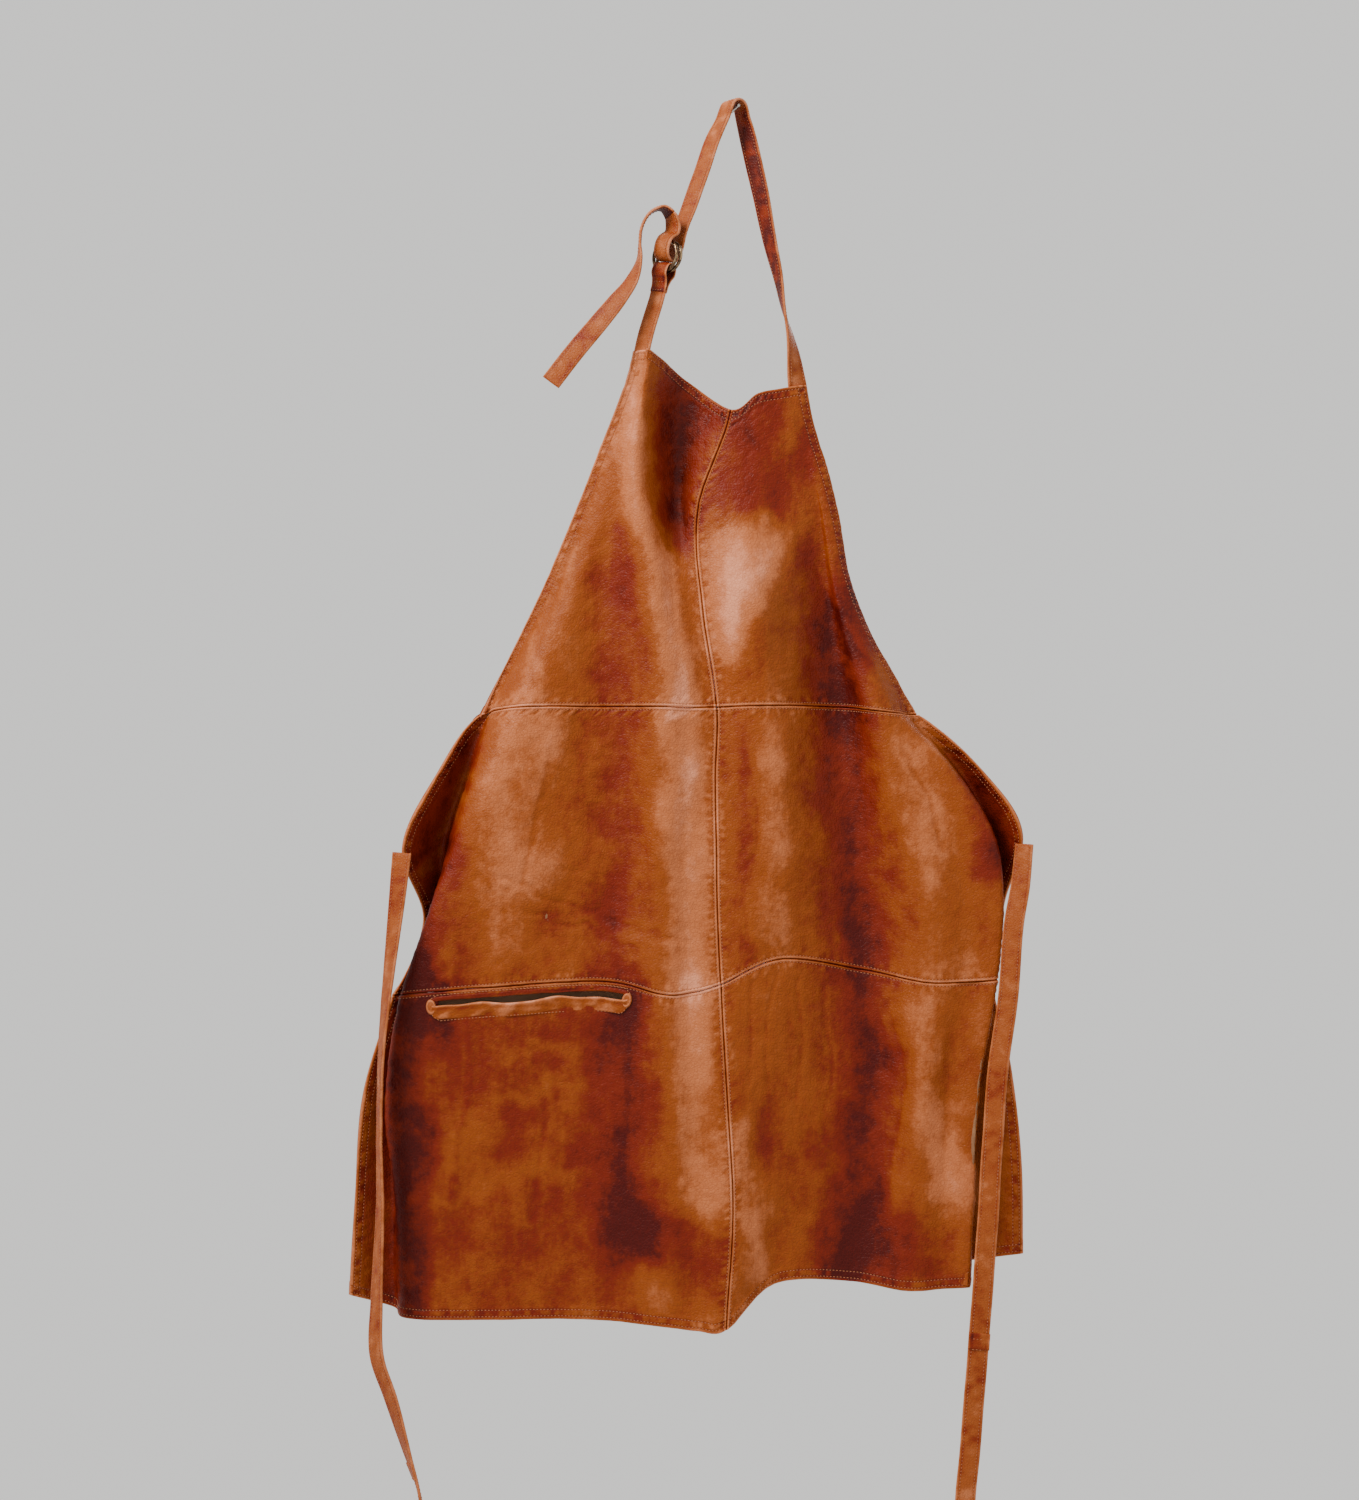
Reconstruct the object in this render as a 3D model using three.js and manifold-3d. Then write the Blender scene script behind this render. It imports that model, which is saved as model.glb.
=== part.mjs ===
// Leather apron hanging by its neck strap on a short wall peg.
// Millimetres, +Z up, the wall at y = 0 and the apron's outer face towards -Y.
// The origin is on the wall, straight behind the top of the neck strap.
import * as THREE from "three";
import { mergeVertices } from "three/addons/utils/BufferGeometryUtils.js";
import Module from "manifold-3d";

const wasm = await Module();
wasm.setup();

// ---------------------------------------------------------------- driving sizes
const LEATHER = 2.0; // thickness of a panel
const STRAP_WIDTH = 19; // folded and stitched strap
const STRAP_THICKNESS = 2.6;
const CLEARANCE = 0.3; // between pieces that touch or are sewn to each other
const SEAM_GAP = 0.9; // between neighbouring panels
const SCALE_ACROSS = 1; // the panels' overall width against their traced net
const SCALE_DOWN = 1; // the panels' overall length against their traced net

const PEG_RADIUS = 2;
const PEG_SLOPE = 20; // degrees, rising away from the wall
const PEG_TURN = 40; // degrees, turned to the right of square to the wall
const COLLAR_RADIUS = 4.5;
const COLLAR_THICKNESS = 1.5;
const CROWN_RADIUS = 9; // middle of the strap's bend over the peg
const CROWN_CENTRE = new THREE.Vector3(-3, -16, -2.5);
const CROWN_SPAN = 52; // degrees of bend on each side of the top

const RING_PLAY = 4.9; // from the strap's edges to the middle of the rings' wire
const RING_RADIUS = STRAP_WIDTH / 2 + RING_PLAY; // middle of the wire
const WIRE_RADIUS = 1.6;
const RINGS_CENTRE = new THREE.Vector3(-65, -41, -143.5);
const RINGS_UP = new THREE.Vector3(0.245, 0, 0.97).normalize();
const RINGS_TURN = 41.8; // degrees between the rings' chord and the wall

const FOLD_PLAY = 1.7; // room for the rings to tip inside the anchor strap's fold

const POCKET_MOUTH = 5;
const POCKET_WELT = 6;
const POCKET_DEPTH = 175;
const POCKET_LINING = 1.2;
const POCKET_ROOM = 9; // between the pocket bag's two layers

// ------------------------------------------------------------------ leather net
// The panels hang in folds. Each row below is one fold line, from the apron's
// left edge to its right edge, as x and y at eleven levels down the apron:
// top, two in the bib, waist seam, three in the waist, hip seam, two, hem.
const LEVELS = [0, 1 / 3, 2 / 3, 1, 1.25, 1.5, 1.75, 2, 7 / 3, 8 / 3, 3];
const FOLDS = [
  { x: [-97.5, -137, -184, -238, -276, -306, -291, -320, -346, -353, -358],
    y: [-30, -26, -22, -20, -36, -54, -22, -20, -30, -32, -34] },
  { x: [-95, -131, -176, -231, -256, -276, -270, -292, -319, -321, -321],
    y: [-32, -28, -24, -18, -13, -12, -10, -10, -12, -14, -14] },
  { x: [-92, -124, -166, -222, -243, -262, -286, -309, -320, -310, -306],
    y: [-36, -31, -30, -34, -46, -52, -52, -50, -48, -46, -44] },
  { x: [-89, -116, -150, -190, -200, -206, -212, -221, -232, -240, -245],
    y: [-40, -35, -36, -50, -54, -56, -56, -54, -52, -50, -48] },
  { x: [-86, -107, -122, -120, -118, -120, -122, -125, -130, -138, -142],
    y: [-43, -40, -34, -36, -37, -38, -40, -44, -46, -46, -44] },
  { x: [-80, -90, -80, -72, -70, -72, -70, -70, -68, -68, -70],
    y: [-45, -48, -52, -54, -54, -54, -54, -55, -56, -56, -54] },
  { x: [-50, -58, -58, -45, -45, -46, -45, -45, -42, -40, -38],
    y: [-14, -12, -44, -48, -48, -48, -48, -50, -54, -56, -56] },
  { x: [-7, -37, -33, -20, -21, -20, -19, -16, -10, -5, -11],
    y: [-34, -30, -42, -45, -46, -48, -50, -54, -60, -62, -62] },
  { x: [18, 10, 15, 30, 35, 38, 40, 40, 42, 45, 34],
    y: [-38, -40, -60, -54, -54, -54, -52, -50, -46, -46, -46] },
  { x: [38, 66, 78, 90, 96, 102, 113, 114, 121, 116, 104],
    y: [-37, -30, -24, -22, -24, -26, -26, -28, -30, -32, -34] },
  { x: [47, 75, 92, 120, 140, 160, 170, 170, 165, 160, 152],
    y: [-34, -32, -34, -44, -50, -52, -54, -52, -52, -50, -48] },
  { x: [53, 80, 100, 138, 172, 200, 210, 208, 195, 190, 186],
    y: [-32, -32, -34, -46, -50, -52, -52, -50, -48, -47, -46] },
  { x: [58, 84, 106, 150, 203, 236, 243, 237, 222, 216, 212],
    y: [-30, -30, -32, -38, -52, -56, -56, -54, -54, -54, -54] },
  { x: [61, 87, 110, 159, 212, 236, 214, 190, 165, 158, 154],
    y: [-29, -28, -28, -26, -16, -14, -12, -12, -12, -12, -12] },
  { x: [63.5, 90, 113, 167, 226, 258, 246, 236, 252, 261, 262],
    y: [-28, -26, -24, -22, -34, -54, -30, -24, -36, -40, -42] },
];
// Heights of the top edge, waist seam, hip seam and hem on each fold line.
const SEAMS = {
  top: [-228.5, -228.6, -228.8, -229, -229.4, -230, -252, -283, -269, -264.5,
    -262.5, -261.2, -260.5, -260, -260],
  waist: [-566, -564, -561, -558, -558, -558, -559, -558.5, -557, -558, -561,
    -563, -564, -565, -565],
  hip: [-826, -824, -823, -815, -811, -822, -821, -813, -790, -801, -811,
    -811, -808, -806, -806],
  hem: [-1102, -1117, -1121, -1122, -1122, -1127, -1130, -1128, -1089, -1089,
    -1095, -1094, -1089, -1084, -1062],
};
const LEFT_EDGE_HEIGHTS = [-566, -620, -688, -757, -826]; // waist seam to hip seam
const RIGHT_EDGE_HEIGHTS = [-565, -620, -674, -740, -806];
const LAST = FOLDS.length - 1;
const CENTRE = 7; // the fold line that is the centre seam

// Centre lines of the straps: x, y, z and the turn of their width, in degrees
// from +X towards -Y.
const LEFT_LEG = [
  [-14.2, -20.5, -11, 48], [-20, -23, -24, 42], [-28.5, -27, -48, 39],
  [-37, -31, -72, 38], [-45, -33.5, -96, 39], [-52, -35.2, -114, 41.8],
];
const RIGHT_LEG = [
  [5.8, -10.5, -11, 48], [9, -12, -24, 42], [14, -15, -46, 38],
  [22, -18.5, -83, 42], [29, -21, -120, 52], [37, -23, -156, 68],
  [43, -24.5, -189, 88], [49, -26.5, -216, 112], [53, -28, -240, 138],
  [55, -29.2, -258.6, 156],
];
const ANCHOR = [
  [-88.2, -36.2, -226.6, 40], [-84.5, -37, -212, 40], [-80.5, -38, -198, 41],
];
const TAIL = [
  [-60, -42.4, -117.5, 44], [-62, -43.2, -107, 55], [-70, -44, -99.5, 70],
  [-81, -45, -104, 80], [-88.5, -46, -117, 86], [-90.5, -47, -133, 88],
  [-91, -48, -147, 76], [-98, -49, -167, 46], [-111, -50, -185, 24],
  [-128, -51, -206, 14], [-149, -52, -231, 10], [-172, -53, -261, 8],
];
const LEFT_TIE = [
  [-308, -59, -692, 20], [-312, -62, -735, 34], [-318, -64, -791, 52],
  [-326, -66, -874, 70], [-327.5, -67, -945, 72], [-327, -67, -1010, 66],
  [-330, -67, -1100, 52], [-330, -67, -1150, 42], [-317, -68, -1189, 44],
  [-303, -69, -1235, 62], [-290, -70, -1280, 84], [-288, -70, -1330, 110],
  [-291, -70, -1400, 140], [-293, -70, -1470, 160], [-290, -69, -1535, 170],
  [-288, -68, -1590, 172],
];
const RIGHT_TIE = [
  [261.5, -59, -684, 40], [257, -63, -722, 30], [251, -66, -756, 24],
  [245, -68, -828, 20], [236, -69, -887, 16], [231, -69, -960, 10],
  [225, -69, -1050, 4], [217, -69, -1156, 0], [210, -69, -1240, 0],
  [206, -69, -1290, -4], [208, -69, -1360, -12], [214, -68, -1430, -20],
  [222, -67, -1500, -26], [228, -66, -1584, -30],
];
const LEFT_TIE_LAP = 0.64; // share of the way down a tie to its lapped join
const RIGHT_TIE_LAP = 0.515;

// -------------------------------------------------------------- small helpers
const radians = THREE.MathUtils.degToRad;

// A smooth value through evenly counted stations, at the place s along them.
function through(values, s) {
  const last = values.length - 1;
  const i = Math.min(Math.floor(s), last - 1);
  const f = s - i;
  const before = values[Math.max(i - 1, 0)];
  const after = values[Math.min(i + 2, last)];
  const slope0 = (values[i + 1] - before) / 2;
  const slope1 = (after - values[i]) / 2;
  const rise = values[i + 1] - values[i];
  const curve = (3 * rise - 2 * slope0 - slope1) * f * f + (slope0 + slope1 - 2 * rise) * f * f * f;
  return values[i] + slope0 * f + curve;
}

// The station number, with its fraction, of a level down the apron.
function station(level) {
  let i = 0;
  while (i < LEVELS.length - 2 && level > LEVELS[i + 1]) i += 1;
  return i + (level - LEVELS[i]) / (LEVELS[i + 1] - LEVELS[i]);
}

// Height of a fold line at a level: even steps between the seams, except that
// the two side edges have their own heights at the waist, where the ties are.
function foldHeight(fold, level) {
  const edge = fold === 0 ? LEFT_EDGE_HEIGHTS : fold === LAST ? RIGHT_EDGE_HEIGHTS : null;
  if (edge && level > 1 && level < 2) return through(edge, (level - 1) * 4);
  const ends = [SEAMS.top, SEAMS.waist, SEAMS.hip, SEAMS.hem];
  const row = Math.min(Math.floor(level), 2);
  return THREE.MathUtils.lerp(ends[row][fold], ends[row + 1][fold], level - row);
}

// A point of the draped leather: fold counts across, level counts down.
const SHOULDER = SEAMS.top[0];
function drape(fold, level) {
  const at = station(level);
  const x = through(FOLDS.map((line) => through(line.x, at)), fold);
  const y = through(FOLDS.map((line) => through(line.y, at)), fold);
  const z = through(FOLDS.map((_, k) => foldHeight(k, level)), fold);
  return new THREE.Vector3(x * SCALE_ACROSS, y, SHOULDER + (z - SHOULDER) * SCALE_DOWN);
}

// How far a point of the leather has moved from where SCALE_ACROSS = SCALE_DOWN
// = 1 puts it. What is sewn there moves with it.
function moved(fold, level) {
  const { x, z } = drape(fold, level);
  return [x * (1 - 1 / SCALE_ACROSS), 0, (z - SHOULDER) * (1 - 1 / SCALE_DOWN)];
}

// A strap's points, moved by steps that grow from first to last along them.
function shifted(points, step, first, last) {
  return points.map(([x, y, z, ...turn], i) => {
    const share = THREE.MathUtils.lerp(first, last, i / (points.length - 1));
    return [x + step[0] * share, y + step[1] * share, z + step[2] * share, ...turn];
  });
}

// The level direction square to the leather, towards its outer face.
function outward(fold, level) {
  const step = 0.02;
  const right = drape(Math.min(fold + step, LAST), level);
  const across = right.sub(drape(Math.max(fold - step, 0), level));
  return new THREE.Vector3(across.y, -across.x, 0).normalize();
}

// Evenly spaced numbers from a to b, both included.
function spread(a, b, steps) {
  return Array.from({ length: steps + 1 }, (_, i) => a + ((b - a) * i) / steps);
}

// A closed slab on a grid: front(i, j) and back(i, j) give its two faces, and
// cells where open(i, j) is true are left out, with walls round them.
function slab(columns, rows, front, back, open = () => false) {
  const positions = [];
  const index = [];
  const wide = columns + 1;
  for (const face of [front, back]) {
    for (let j = 0; j <= rows; j += 1) {
      for (let i = 0; i < wide; i += 1) positions.push(...face(i, j).toArray());
    }
  }
  const behind = wide * (rows + 1);
  const solid = (i, j) => i >= 0 && j >= 0 && i < columns && j < rows && !open(i, j);
  const quad = (a, b, c, d) => index.push(a, b, c, a, c, d);
  for (let j = 0; j < rows; j += 1) {
    for (let i = 0; i < columns; i += 1) {
      if (!solid(i, j)) continue;
      const a = j * wide + i;
      const [b, c, d] = [a + 1, a + wide + 1, a + wide];
      quad(a, d, c, b);
      quad(a + behind, b + behind, c + behind, d + behind);
      if (!solid(i, j - 1)) quad(a, b, b + behind, a + behind);
      if (!solid(i + 1, j)) quad(b, c, c + behind, b + behind);
      if (!solid(i, j + 1)) quad(c, d, d + behind, c + behind);
      if (!solid(i - 1, j)) quad(d, a, a + behind, d + behind);
    }
  }
  const geometry = new THREE.BufferGeometry();
  geometry.setAttribute("position", new THREE.Float32BufferAttribute(positions, 3));
  geometry.setIndex(index);
  geometry.computeVertexNormals();
  return geometry;
}

// A piece of draped leather between two depths behind the outer face.
function leather(folds, levels, near, far, open) {
  const at = (depth) => (i, j) => {
    const normal = outward(folds[i], levels[j]);
    return drape(folds[i], levels[j]).addScaledVector(normal, -depth);
  };
  return slab(folds.length - 1, levels.length - 1, at(near), at(far), open);
}

// The level direction at a turn in degrees from +X towards -Y.
function levelAcross(turn) {
  return new THREE.Vector3(Math.cos(radians(turn)), -Math.sin(radians(turn)), 0);
}

// A flat strap along a smooth centre line, from the share a to the share b. Its
// width follows each point's turn, or the direction that the point gives.
function strap(points, a, b, steps, width = STRAP_WIDTH, thickness = STRAP_THICKNESS) {
  const line = new THREE.CatmullRomCurve3(points.map(([x, y, z]) => new THREE.Vector3(x, y, z)));
  const widths = points.map(({ 3: turn, 4: vector }) => vector ?? levelAcross(turn));
  const sections = spread(a, b, steps).map((share) => {
    const t = line.getUtoTmapping(share);
    const along = line.getTangent(t);
    const at = t * (points.length - 1);
    const across = new THREE.Vector3(
      ...["x", "y", "z"].map((axis) => through(widths.map((width) => width[axis]), at)),
    );
    across.addScaledVector(along, -across.dot(along)).normalize();
    return { centre: line.getPoint(t), across, face: along.clone().cross(across) };
  });
  const side = (sign) => (i, j) => {
    const { centre, across, face } = sections[j];
    const out = centre.clone().addScaledVector(across, (i - 0.5) * width);
    return out.addScaledVector(face, (sign * thickness) / 2);
  };
  return slab(1, steps, side(1), side(-1));
}

// Solids of the boolean library, and back.
function toSolid(geometry) {
  const bare = new THREE.BufferGeometry();
  bare.setAttribute("position", geometry.getAttribute("position"));
  bare.setIndex(geometry.getIndex());
  const merged = mergeVertices(bare, 1e-4);
  return new wasm.Manifold(new wasm.Mesh({
    numProp: 3,
    vertProperties: new Float32Array(merged.getAttribute("position").array),
    triVerts: new Uint32Array(merged.getIndex().array),
  }));
}

function toGeometry(solid) {
  const mesh = solid.getMesh();
  const geometry = new THREE.BufferGeometry();
  const corners = mesh.numProp === 3 ? mesh.vertProperties : null;
  geometry.setAttribute("position", new THREE.Float32BufferAttribute(corners, 3));
  geometry.setIndex(Array.from(mesh.triVerts));
  geometry.computeVertexNormals();
  return geometry;
}

// ------------------------------------------------------------------- materials
const plain = (color, roughness, metalness) =>
  new THREE.MeshStandardMaterial({ color, roughness, metalness, side: THREE.FrontSide });
const TAN_LEATHER = plain(0xa3602f, 0.48, 0);
const STRAP_LEATHER = plain(0xb9744a, 0.5, 0);
const LINING = plain(0x8a5a38, 0.9, 0);
const OLD_BRASS = plain(0x9c6b3f, 0.35, 1);
const STEEL = plain(0xb9b6ae, 0.35, 1);

const apron = new THREE.Group();
function add(name, geometry, material) {
  const mesh = new THREE.Mesh(geometry, material);
  mesh.name = name;
  apron.add(mesh);
  return mesh;
}

// ------------------------------------------------------------------- wall peg
// A short rod rises from a small round collar on the wall and is turned to the
// right, so that the strap's left leg hides it.
const pegAxis = new THREE.Vector3(
  Math.sin(radians(PEG_TURN)) * Math.cos(radians(PEG_SLOPE)),
  -Math.cos(radians(PEG_TURN)) * Math.cos(radians(PEG_SLOPE)),
  Math.sin(radians(PEG_SLOPE)),
);
const strapReach = STRAP_WIDTH / 2;
const pegDrop = strapReach * Math.tan(radians(PEG_SLOPE));
const crownInside = CROWN_RADIUS - STRAP_THICKNESS / 2;
const pegUnderCrown = CROWN_CENTRE.clone().add(
  new THREE.Vector3(0, 0, crownInside - CLEARANCE - PEG_RADIUS / Math.cos(radians(PEG_SLOPE)) - pegDrop),
);
const toWall = (-pegUnderCrown.y - COLLAR_THICKNESS) / -pegAxis.y;
const pegFoot = pegUnderCrown.clone().addScaledVector(pegAxis, -toWall);
const pegTip = pegUnderCrown.clone().addScaledVector(pegAxis, strapReach - PEG_RADIUS);

// The rod's foot is cut square to the wall, flush with the collar's front.
function pegGeometry() {
  const length = pegTip.distanceTo(pegFoot) + 3 * PEG_RADIUS;
  const profile = [
    new THREE.Vector2(0, 0),
    new THREE.Vector2(PEG_RADIUS, 0),
    new THREE.Vector2(PEG_RADIUS, length - PEG_RADIUS * 0.6),
    new THREE.Vector2(PEG_RADIUS * 0.7, length - PEG_RADIUS * 0.15),
    new THREE.Vector2(0, length),
  ];
  const rod = new THREE.LatheGeometry(profile, 20);
  rod.deleteAttribute("normal");
  rod.deleteAttribute("uv");
  rod.applyQuaternion(new THREE.Quaternion().setFromUnitVectors(new THREE.Vector3(0, 1, 0), pegAxis));
  const start = pegTip.clone().addScaledVector(pegAxis, -length);
  rod.translate(start.x, start.y, start.z);
  const block = new THREE.BoxGeometry(80, 40, 80);
  block.deleteAttribute("normal");
  block.deleteAttribute("uv");
  block.translate(pegFoot.x, 20 - COLLAR_THICKNESS - CLEARANCE, pegFoot.z);
  return toGeometry(toSolid(rod).subtract(toSolid(block)));
}
add("hook_peg", pegGeometry(), STEEL);

const collar = new THREE.CylinderGeometry(COLLAR_RADIUS, COLLAR_RADIUS, COLLAR_THICKNESS, 28);
add("hook_collar", collar, STEEL).position.set(pegFoot.x, -COLLAR_THICKNESS / 2, pegFoot.z);

// ----------------------------------------------------------------- neck strap
// One long strap: over the peg, down to the two rings on the left, and down to
// the bib's right corner. The bend over the peg is a piece of its own here.
const crownAcross = levelAcross(90 - PEG_TURN);
const crownSide = new THREE.Vector3(crownAcross.y, -crownAcross.x, 0);
function crownPoint(angle, radius, reach) {
  const point = CROWN_CENTRE.clone().addScaledVector(crownSide, Math.sin(angle) * radius);
  point.z += Math.cos(angle) * radius;
  return point.addScaledVector(crownAcross, reach);
}
const crownAngles = spread(-radians(CROWN_SPAN), radians(CROWN_SPAN), 12);
const crownFace = (radius) => (i, j) => crownPoint(crownAngles[j], radius, (i - 0.5) * STRAP_WIDTH);
add(
  "neck_strap_crown",
  slab(1, 12, crownFace(CROWN_RADIUS + STRAP_THICKNESS / 2), crownFace(CROWN_RADIUS - STRAP_THICKNESS / 2)),
  STRAP_LEATHER,
);
const rightLeg = shifted(RIGHT_LEG, moved(LAST, 0), 0, 1); // down to the bib's right corner
add("neck_strap_right", strap(rightLeg, 0, 1, 34), STRAP_LEATHER);

// The rings' own frame: up the strap, across it, and out towards the front.
const ringsAcross = levelAcross(RINGS_TURN);
ringsAcross.addScaledVector(RINGS_UP, -ringsAcross.dot(RINGS_UP)).normalize();
const ringsFront = ringsAcross.clone().cross(RINGS_UP);
const atRings = (up, front) => {
  const point = RINGS_CENTRE.clone().addScaledVector(RINGS_UP, up).addScaledVector(ringsFront, front);
  return [point.x, point.y, point.z, RINGS_TURN, ringsAcross];
};

// The left leg passes behind both rings' tops and out through them.
const leftLeg = [
  ...LEFT_LEG,
  atRings(22, -7), atRings(16, -7.2), atRings(11, -6.8), atRings(7, -5), atRings(5.4, -1.8),
];
add("neck_strap_left", strap(leftLeg, 0, 1, 34), STRAP_LEATHER);

// It then rolls up over the front ring, and its tail springs up and hangs down.
const roll = [
  atRings(5.3, 1.4), atRings(6.6, 6), atRings(RING_RADIUS - 3.8, 8.9),
  atRings(RING_RADIUS + 1.4, 8.8), atRings(RING_RADIUS + 4.8, 5.6), atRings(22, 2.6),
];
add("neck_strap_roll", strap(roll, 0.02, 1, 12), STRAP_LEATHER);
add("neck_strap_tail", strap(TAIL, 0, 1, 36), STRAP_LEATHER);

// --------------------------------------------------------------------- rings
// Two plain wire rings share the fold of the anchor strap and part at the top.
function ring(name, bottom, top) {
  const low = new THREE.Vector3(...atRings(...bottom).slice(0, 3));
  const high = new THREE.Vector3(...atRings(...top).slice(0, 3));
  const mesh = add(name, new THREE.TorusGeometry(RING_RADIUS, WIRE_RADIUS, 10, 40), OLD_BRASS);
  const up = high.clone().sub(low).normalize();
  const axis = ringsAcross.clone().cross(up);
  mesh.quaternion.setFromRotationMatrix(new THREE.Matrix4().makeBasis(ringsAcross, up, axis));
  mesh.position.copy(low).add(high).multiplyScalar(0.5);
}
const ringHalf = RING_RADIUS * 0.99;
ring("ring_front", [-ringHalf, 2.1], [ringHalf, 4.6]);
ring("ring_rear", [-ringHalf, -2.1], [ringHalf, -2.5]);

// --------------------------------------------------------------- anchor strap
// A short strap is folded round both rings and sewn behind the bib's left corner.
const FOLD_TOP = 2.4 - RING_RADIUS; // centre of the fold's round top, up from the rings' centre
const FOLD_ROOM = 0.02; // over the wires, at the strap's edges
const wireRise = RING_RADIUS - Math.sqrt(RING_RADIUS ** 2 - (STRAP_WIDTH / 2) ** 2); // and there
const FOLD_HEIGHT = wireRise + WIRE_RADIUS + FOLD_ROOM; // from the centre to the fold's inside
const foldThickness = STRAP_THICKNESS / 2;
const foldHalf = 2.1 + WIRE_RADIUS + FOLD_PLAY + foldThickness / 2;
const foldRound = spread(-90, 90, 6).map((angle) => {
  const up = FOLD_TOP + (FOLD_HEIGHT + foldThickness / 2) * Math.cos(radians(angle));
  return atRings(up, foldHalf * Math.sin(radians(angle)));
});
const foldLine = [
  atRings(FOLD_TOP - 19, -1), atRings(FOLD_TOP - 14, -1.4), atRings(FOLD_TOP - 9, -3.4),
  atRings(FOLD_TOP - 4.8, -foldHalf),
  ...foldRound,
  atRings(FOLD_TOP - 4.8, foldHalf), atRings(FOLD_TOP - 9, 3.4),
  atRings(FOLD_TOP - 14, 1.4), atRings(FOLD_TOP - 19, 1),
];
add("anchor_fold", strap(foldLine, 0, 1, 36, STRAP_WIDTH, foldThickness), STRAP_LEATHER);
const anchorLine = [
  ...shifted(ANCHOR, moved(0, 0), 0.45, 0), // up from the bib's left corner
  atRings(FOLD_TOP - 28, 0), atRings(FOLD_TOP - 21, 0),
];
add("anchor_strap", strap(anchorLine, 0, 1, 10), STRAP_LEATHER);

// --------------------------------------------------------------------- panels
// Six panels meet at the centre, waist and hip seams.
const acrossGap = SEAM_GAP / 50; // as a share of the step between two fold lines
const downGap = SEAM_GAP / 2 / 270; // as a share of a panel's length
const pocketLeft = 2.42; // the pocket's ends, as places across the fold lines
const pocketRight = 4.36;
const halves = {
  left: [0, 0.5, 1, 1.5, 2, pocketLeft, 2.7, 3, 3.5, 4, pocketRight, 5, 5.5, 6, 6.5, CENTRE - acrossGap],
  right: spread(CENTRE + acrossGap / 2, LAST, 14),
};
const bands = {
  bib: spread(0, 1 - downGap, 8),
  waist: spread(1 + downGap, 2 - downGap, 8),
  skirt: spread(2 + downGap, 3, 8),
};

// The pocket's mouth is cut in the left skirt panel, just under the hip seam.
const skirtLength = SEAMS.hip[3] - SEAMS.hem[3];
const mouthMiddle = 2.038;
const slotHalf = (POCKET_MOUTH / 2 + POCKET_WELT + CLEARANCE) / skirtLength;
const slot = { top: mouthMiddle - slotHalf, bottom: mouthMiddle + slotHalf };
const pocketLevels = [2 + downGap, slot.top, slot.bottom, ...spread(slot.bottom, 3, 7).slice(1)];
const inSlot = (i, j) => j === 1 && halves.left[i] >= pocketLeft && halves.left[i] < pocketRight;

for (const [band, levels] of Object.entries(bands)) {
  for (const [half, folds] of Object.entries(halves)) {
    const pocketed = band === "skirt" && half === "left";
    const geometry = pocketed
      ? leather(folds, pocketLevels, 0, LEATHER, inSlot)
      : leather(folds, levels, 0, LEATHER);
    add(`${band}_panel_${half}`, geometry, TAN_LEATHER);
  }
}

// --------------------------------------------------------------------- pocket
// Two rolled lips fill the slot but for the mouth, and a bag hangs behind it.
const lipFolds = [pocketLeft + 0.006, 2.7, 3, 3.5, 4, pocketRight - 0.008];
const lipInset = CLEARANCE / skirtLength;
const lipHeight = POCKET_WELT / skirtLength;
const lips = {
  pocket_lip_upper: [slot.top + lipInset, slot.top + lipInset + lipHeight],
  pocket_lip_lower: [slot.bottom - lipInset - lipHeight, slot.bottom - lipInset],
};
for (const [name, [top, bottom]] of Object.entries(lips)) {
  add(name, leather(lipFolds, [top, bottom], -0.6, LEATHER + 0.6), TAN_LEATHER);
}

const bagTop = slot.top;
const bagBottom = slot.bottom + POCKET_DEPTH / skirtLength;
const bagNear = LEATHER + 1;
const bagFar = bagNear + 2 * POCKET_LINING + POCKET_ROOM;
const liningShare = POCKET_LINING / 90; // across, as a share of a fold line's step
const bagFolds = (inset) => [
  pocketLeft + inset, 2.7, 3, 3.5, 4, pocketRight - inset,
];
const bagLevels = (inset) => spread(bagTop + inset, bagBottom - inset, 5);
const bagOuter = toSolid(leather(bagFolds(0), bagLevels(0), bagNear, bagFar));
const inset = 2 * liningShare;
const bagHollow = toSolid(
  leather(
    bagFolds(inset), bagLevels(POCKET_LINING / skirtLength),
    bagNear + POCKET_LINING, bagFar - POCKET_LINING,
  ),
);
const bagMouth = toSolid(
  leather(bagFolds(inset), [slot.top + POCKET_LINING / skirtLength, slot.bottom], bagNear - 1, bagNear + 2),
);
add("pocket_bag", toGeometry(bagOuter.subtract(bagHollow).subtract(bagMouth)), LINING);

// ----------------------------------------------------------------- waist ties
// Each tie is two lengths of strap, the second lapped and sewn behind the first.
function tie(side, route, corner, lapShare) {
  const points = shifted(route, corner, 1, 1); // it hangs from the waist's side corner
  const line = new THREE.CatmullRomCurve3(points.map(([x, y, z]) => new THREE.Vector3(x, y, z)));
  const length = line.getLength();
  const lap = CLEARANCE / length;
  add(`waist_tie_${side}_upper`, strap(points, 0, lapShare, 22), STRAP_LEATHER);
  add(`waist_tie_${side}_lower`, strap(points, lapShare + lap, 1, 14), STRAP_LEATHER);
}
tie("left", LEFT_TIE, moved(0, 1.5), LEFT_TIE_LAP);
tie("right", RIGHT_TIE, moved(LAST, 1.5), RIGHT_TIE_LAP);

export default apron;
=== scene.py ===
"""A tan leather work apron, hung by its neck strap on a short wall peg."""
import math

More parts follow.
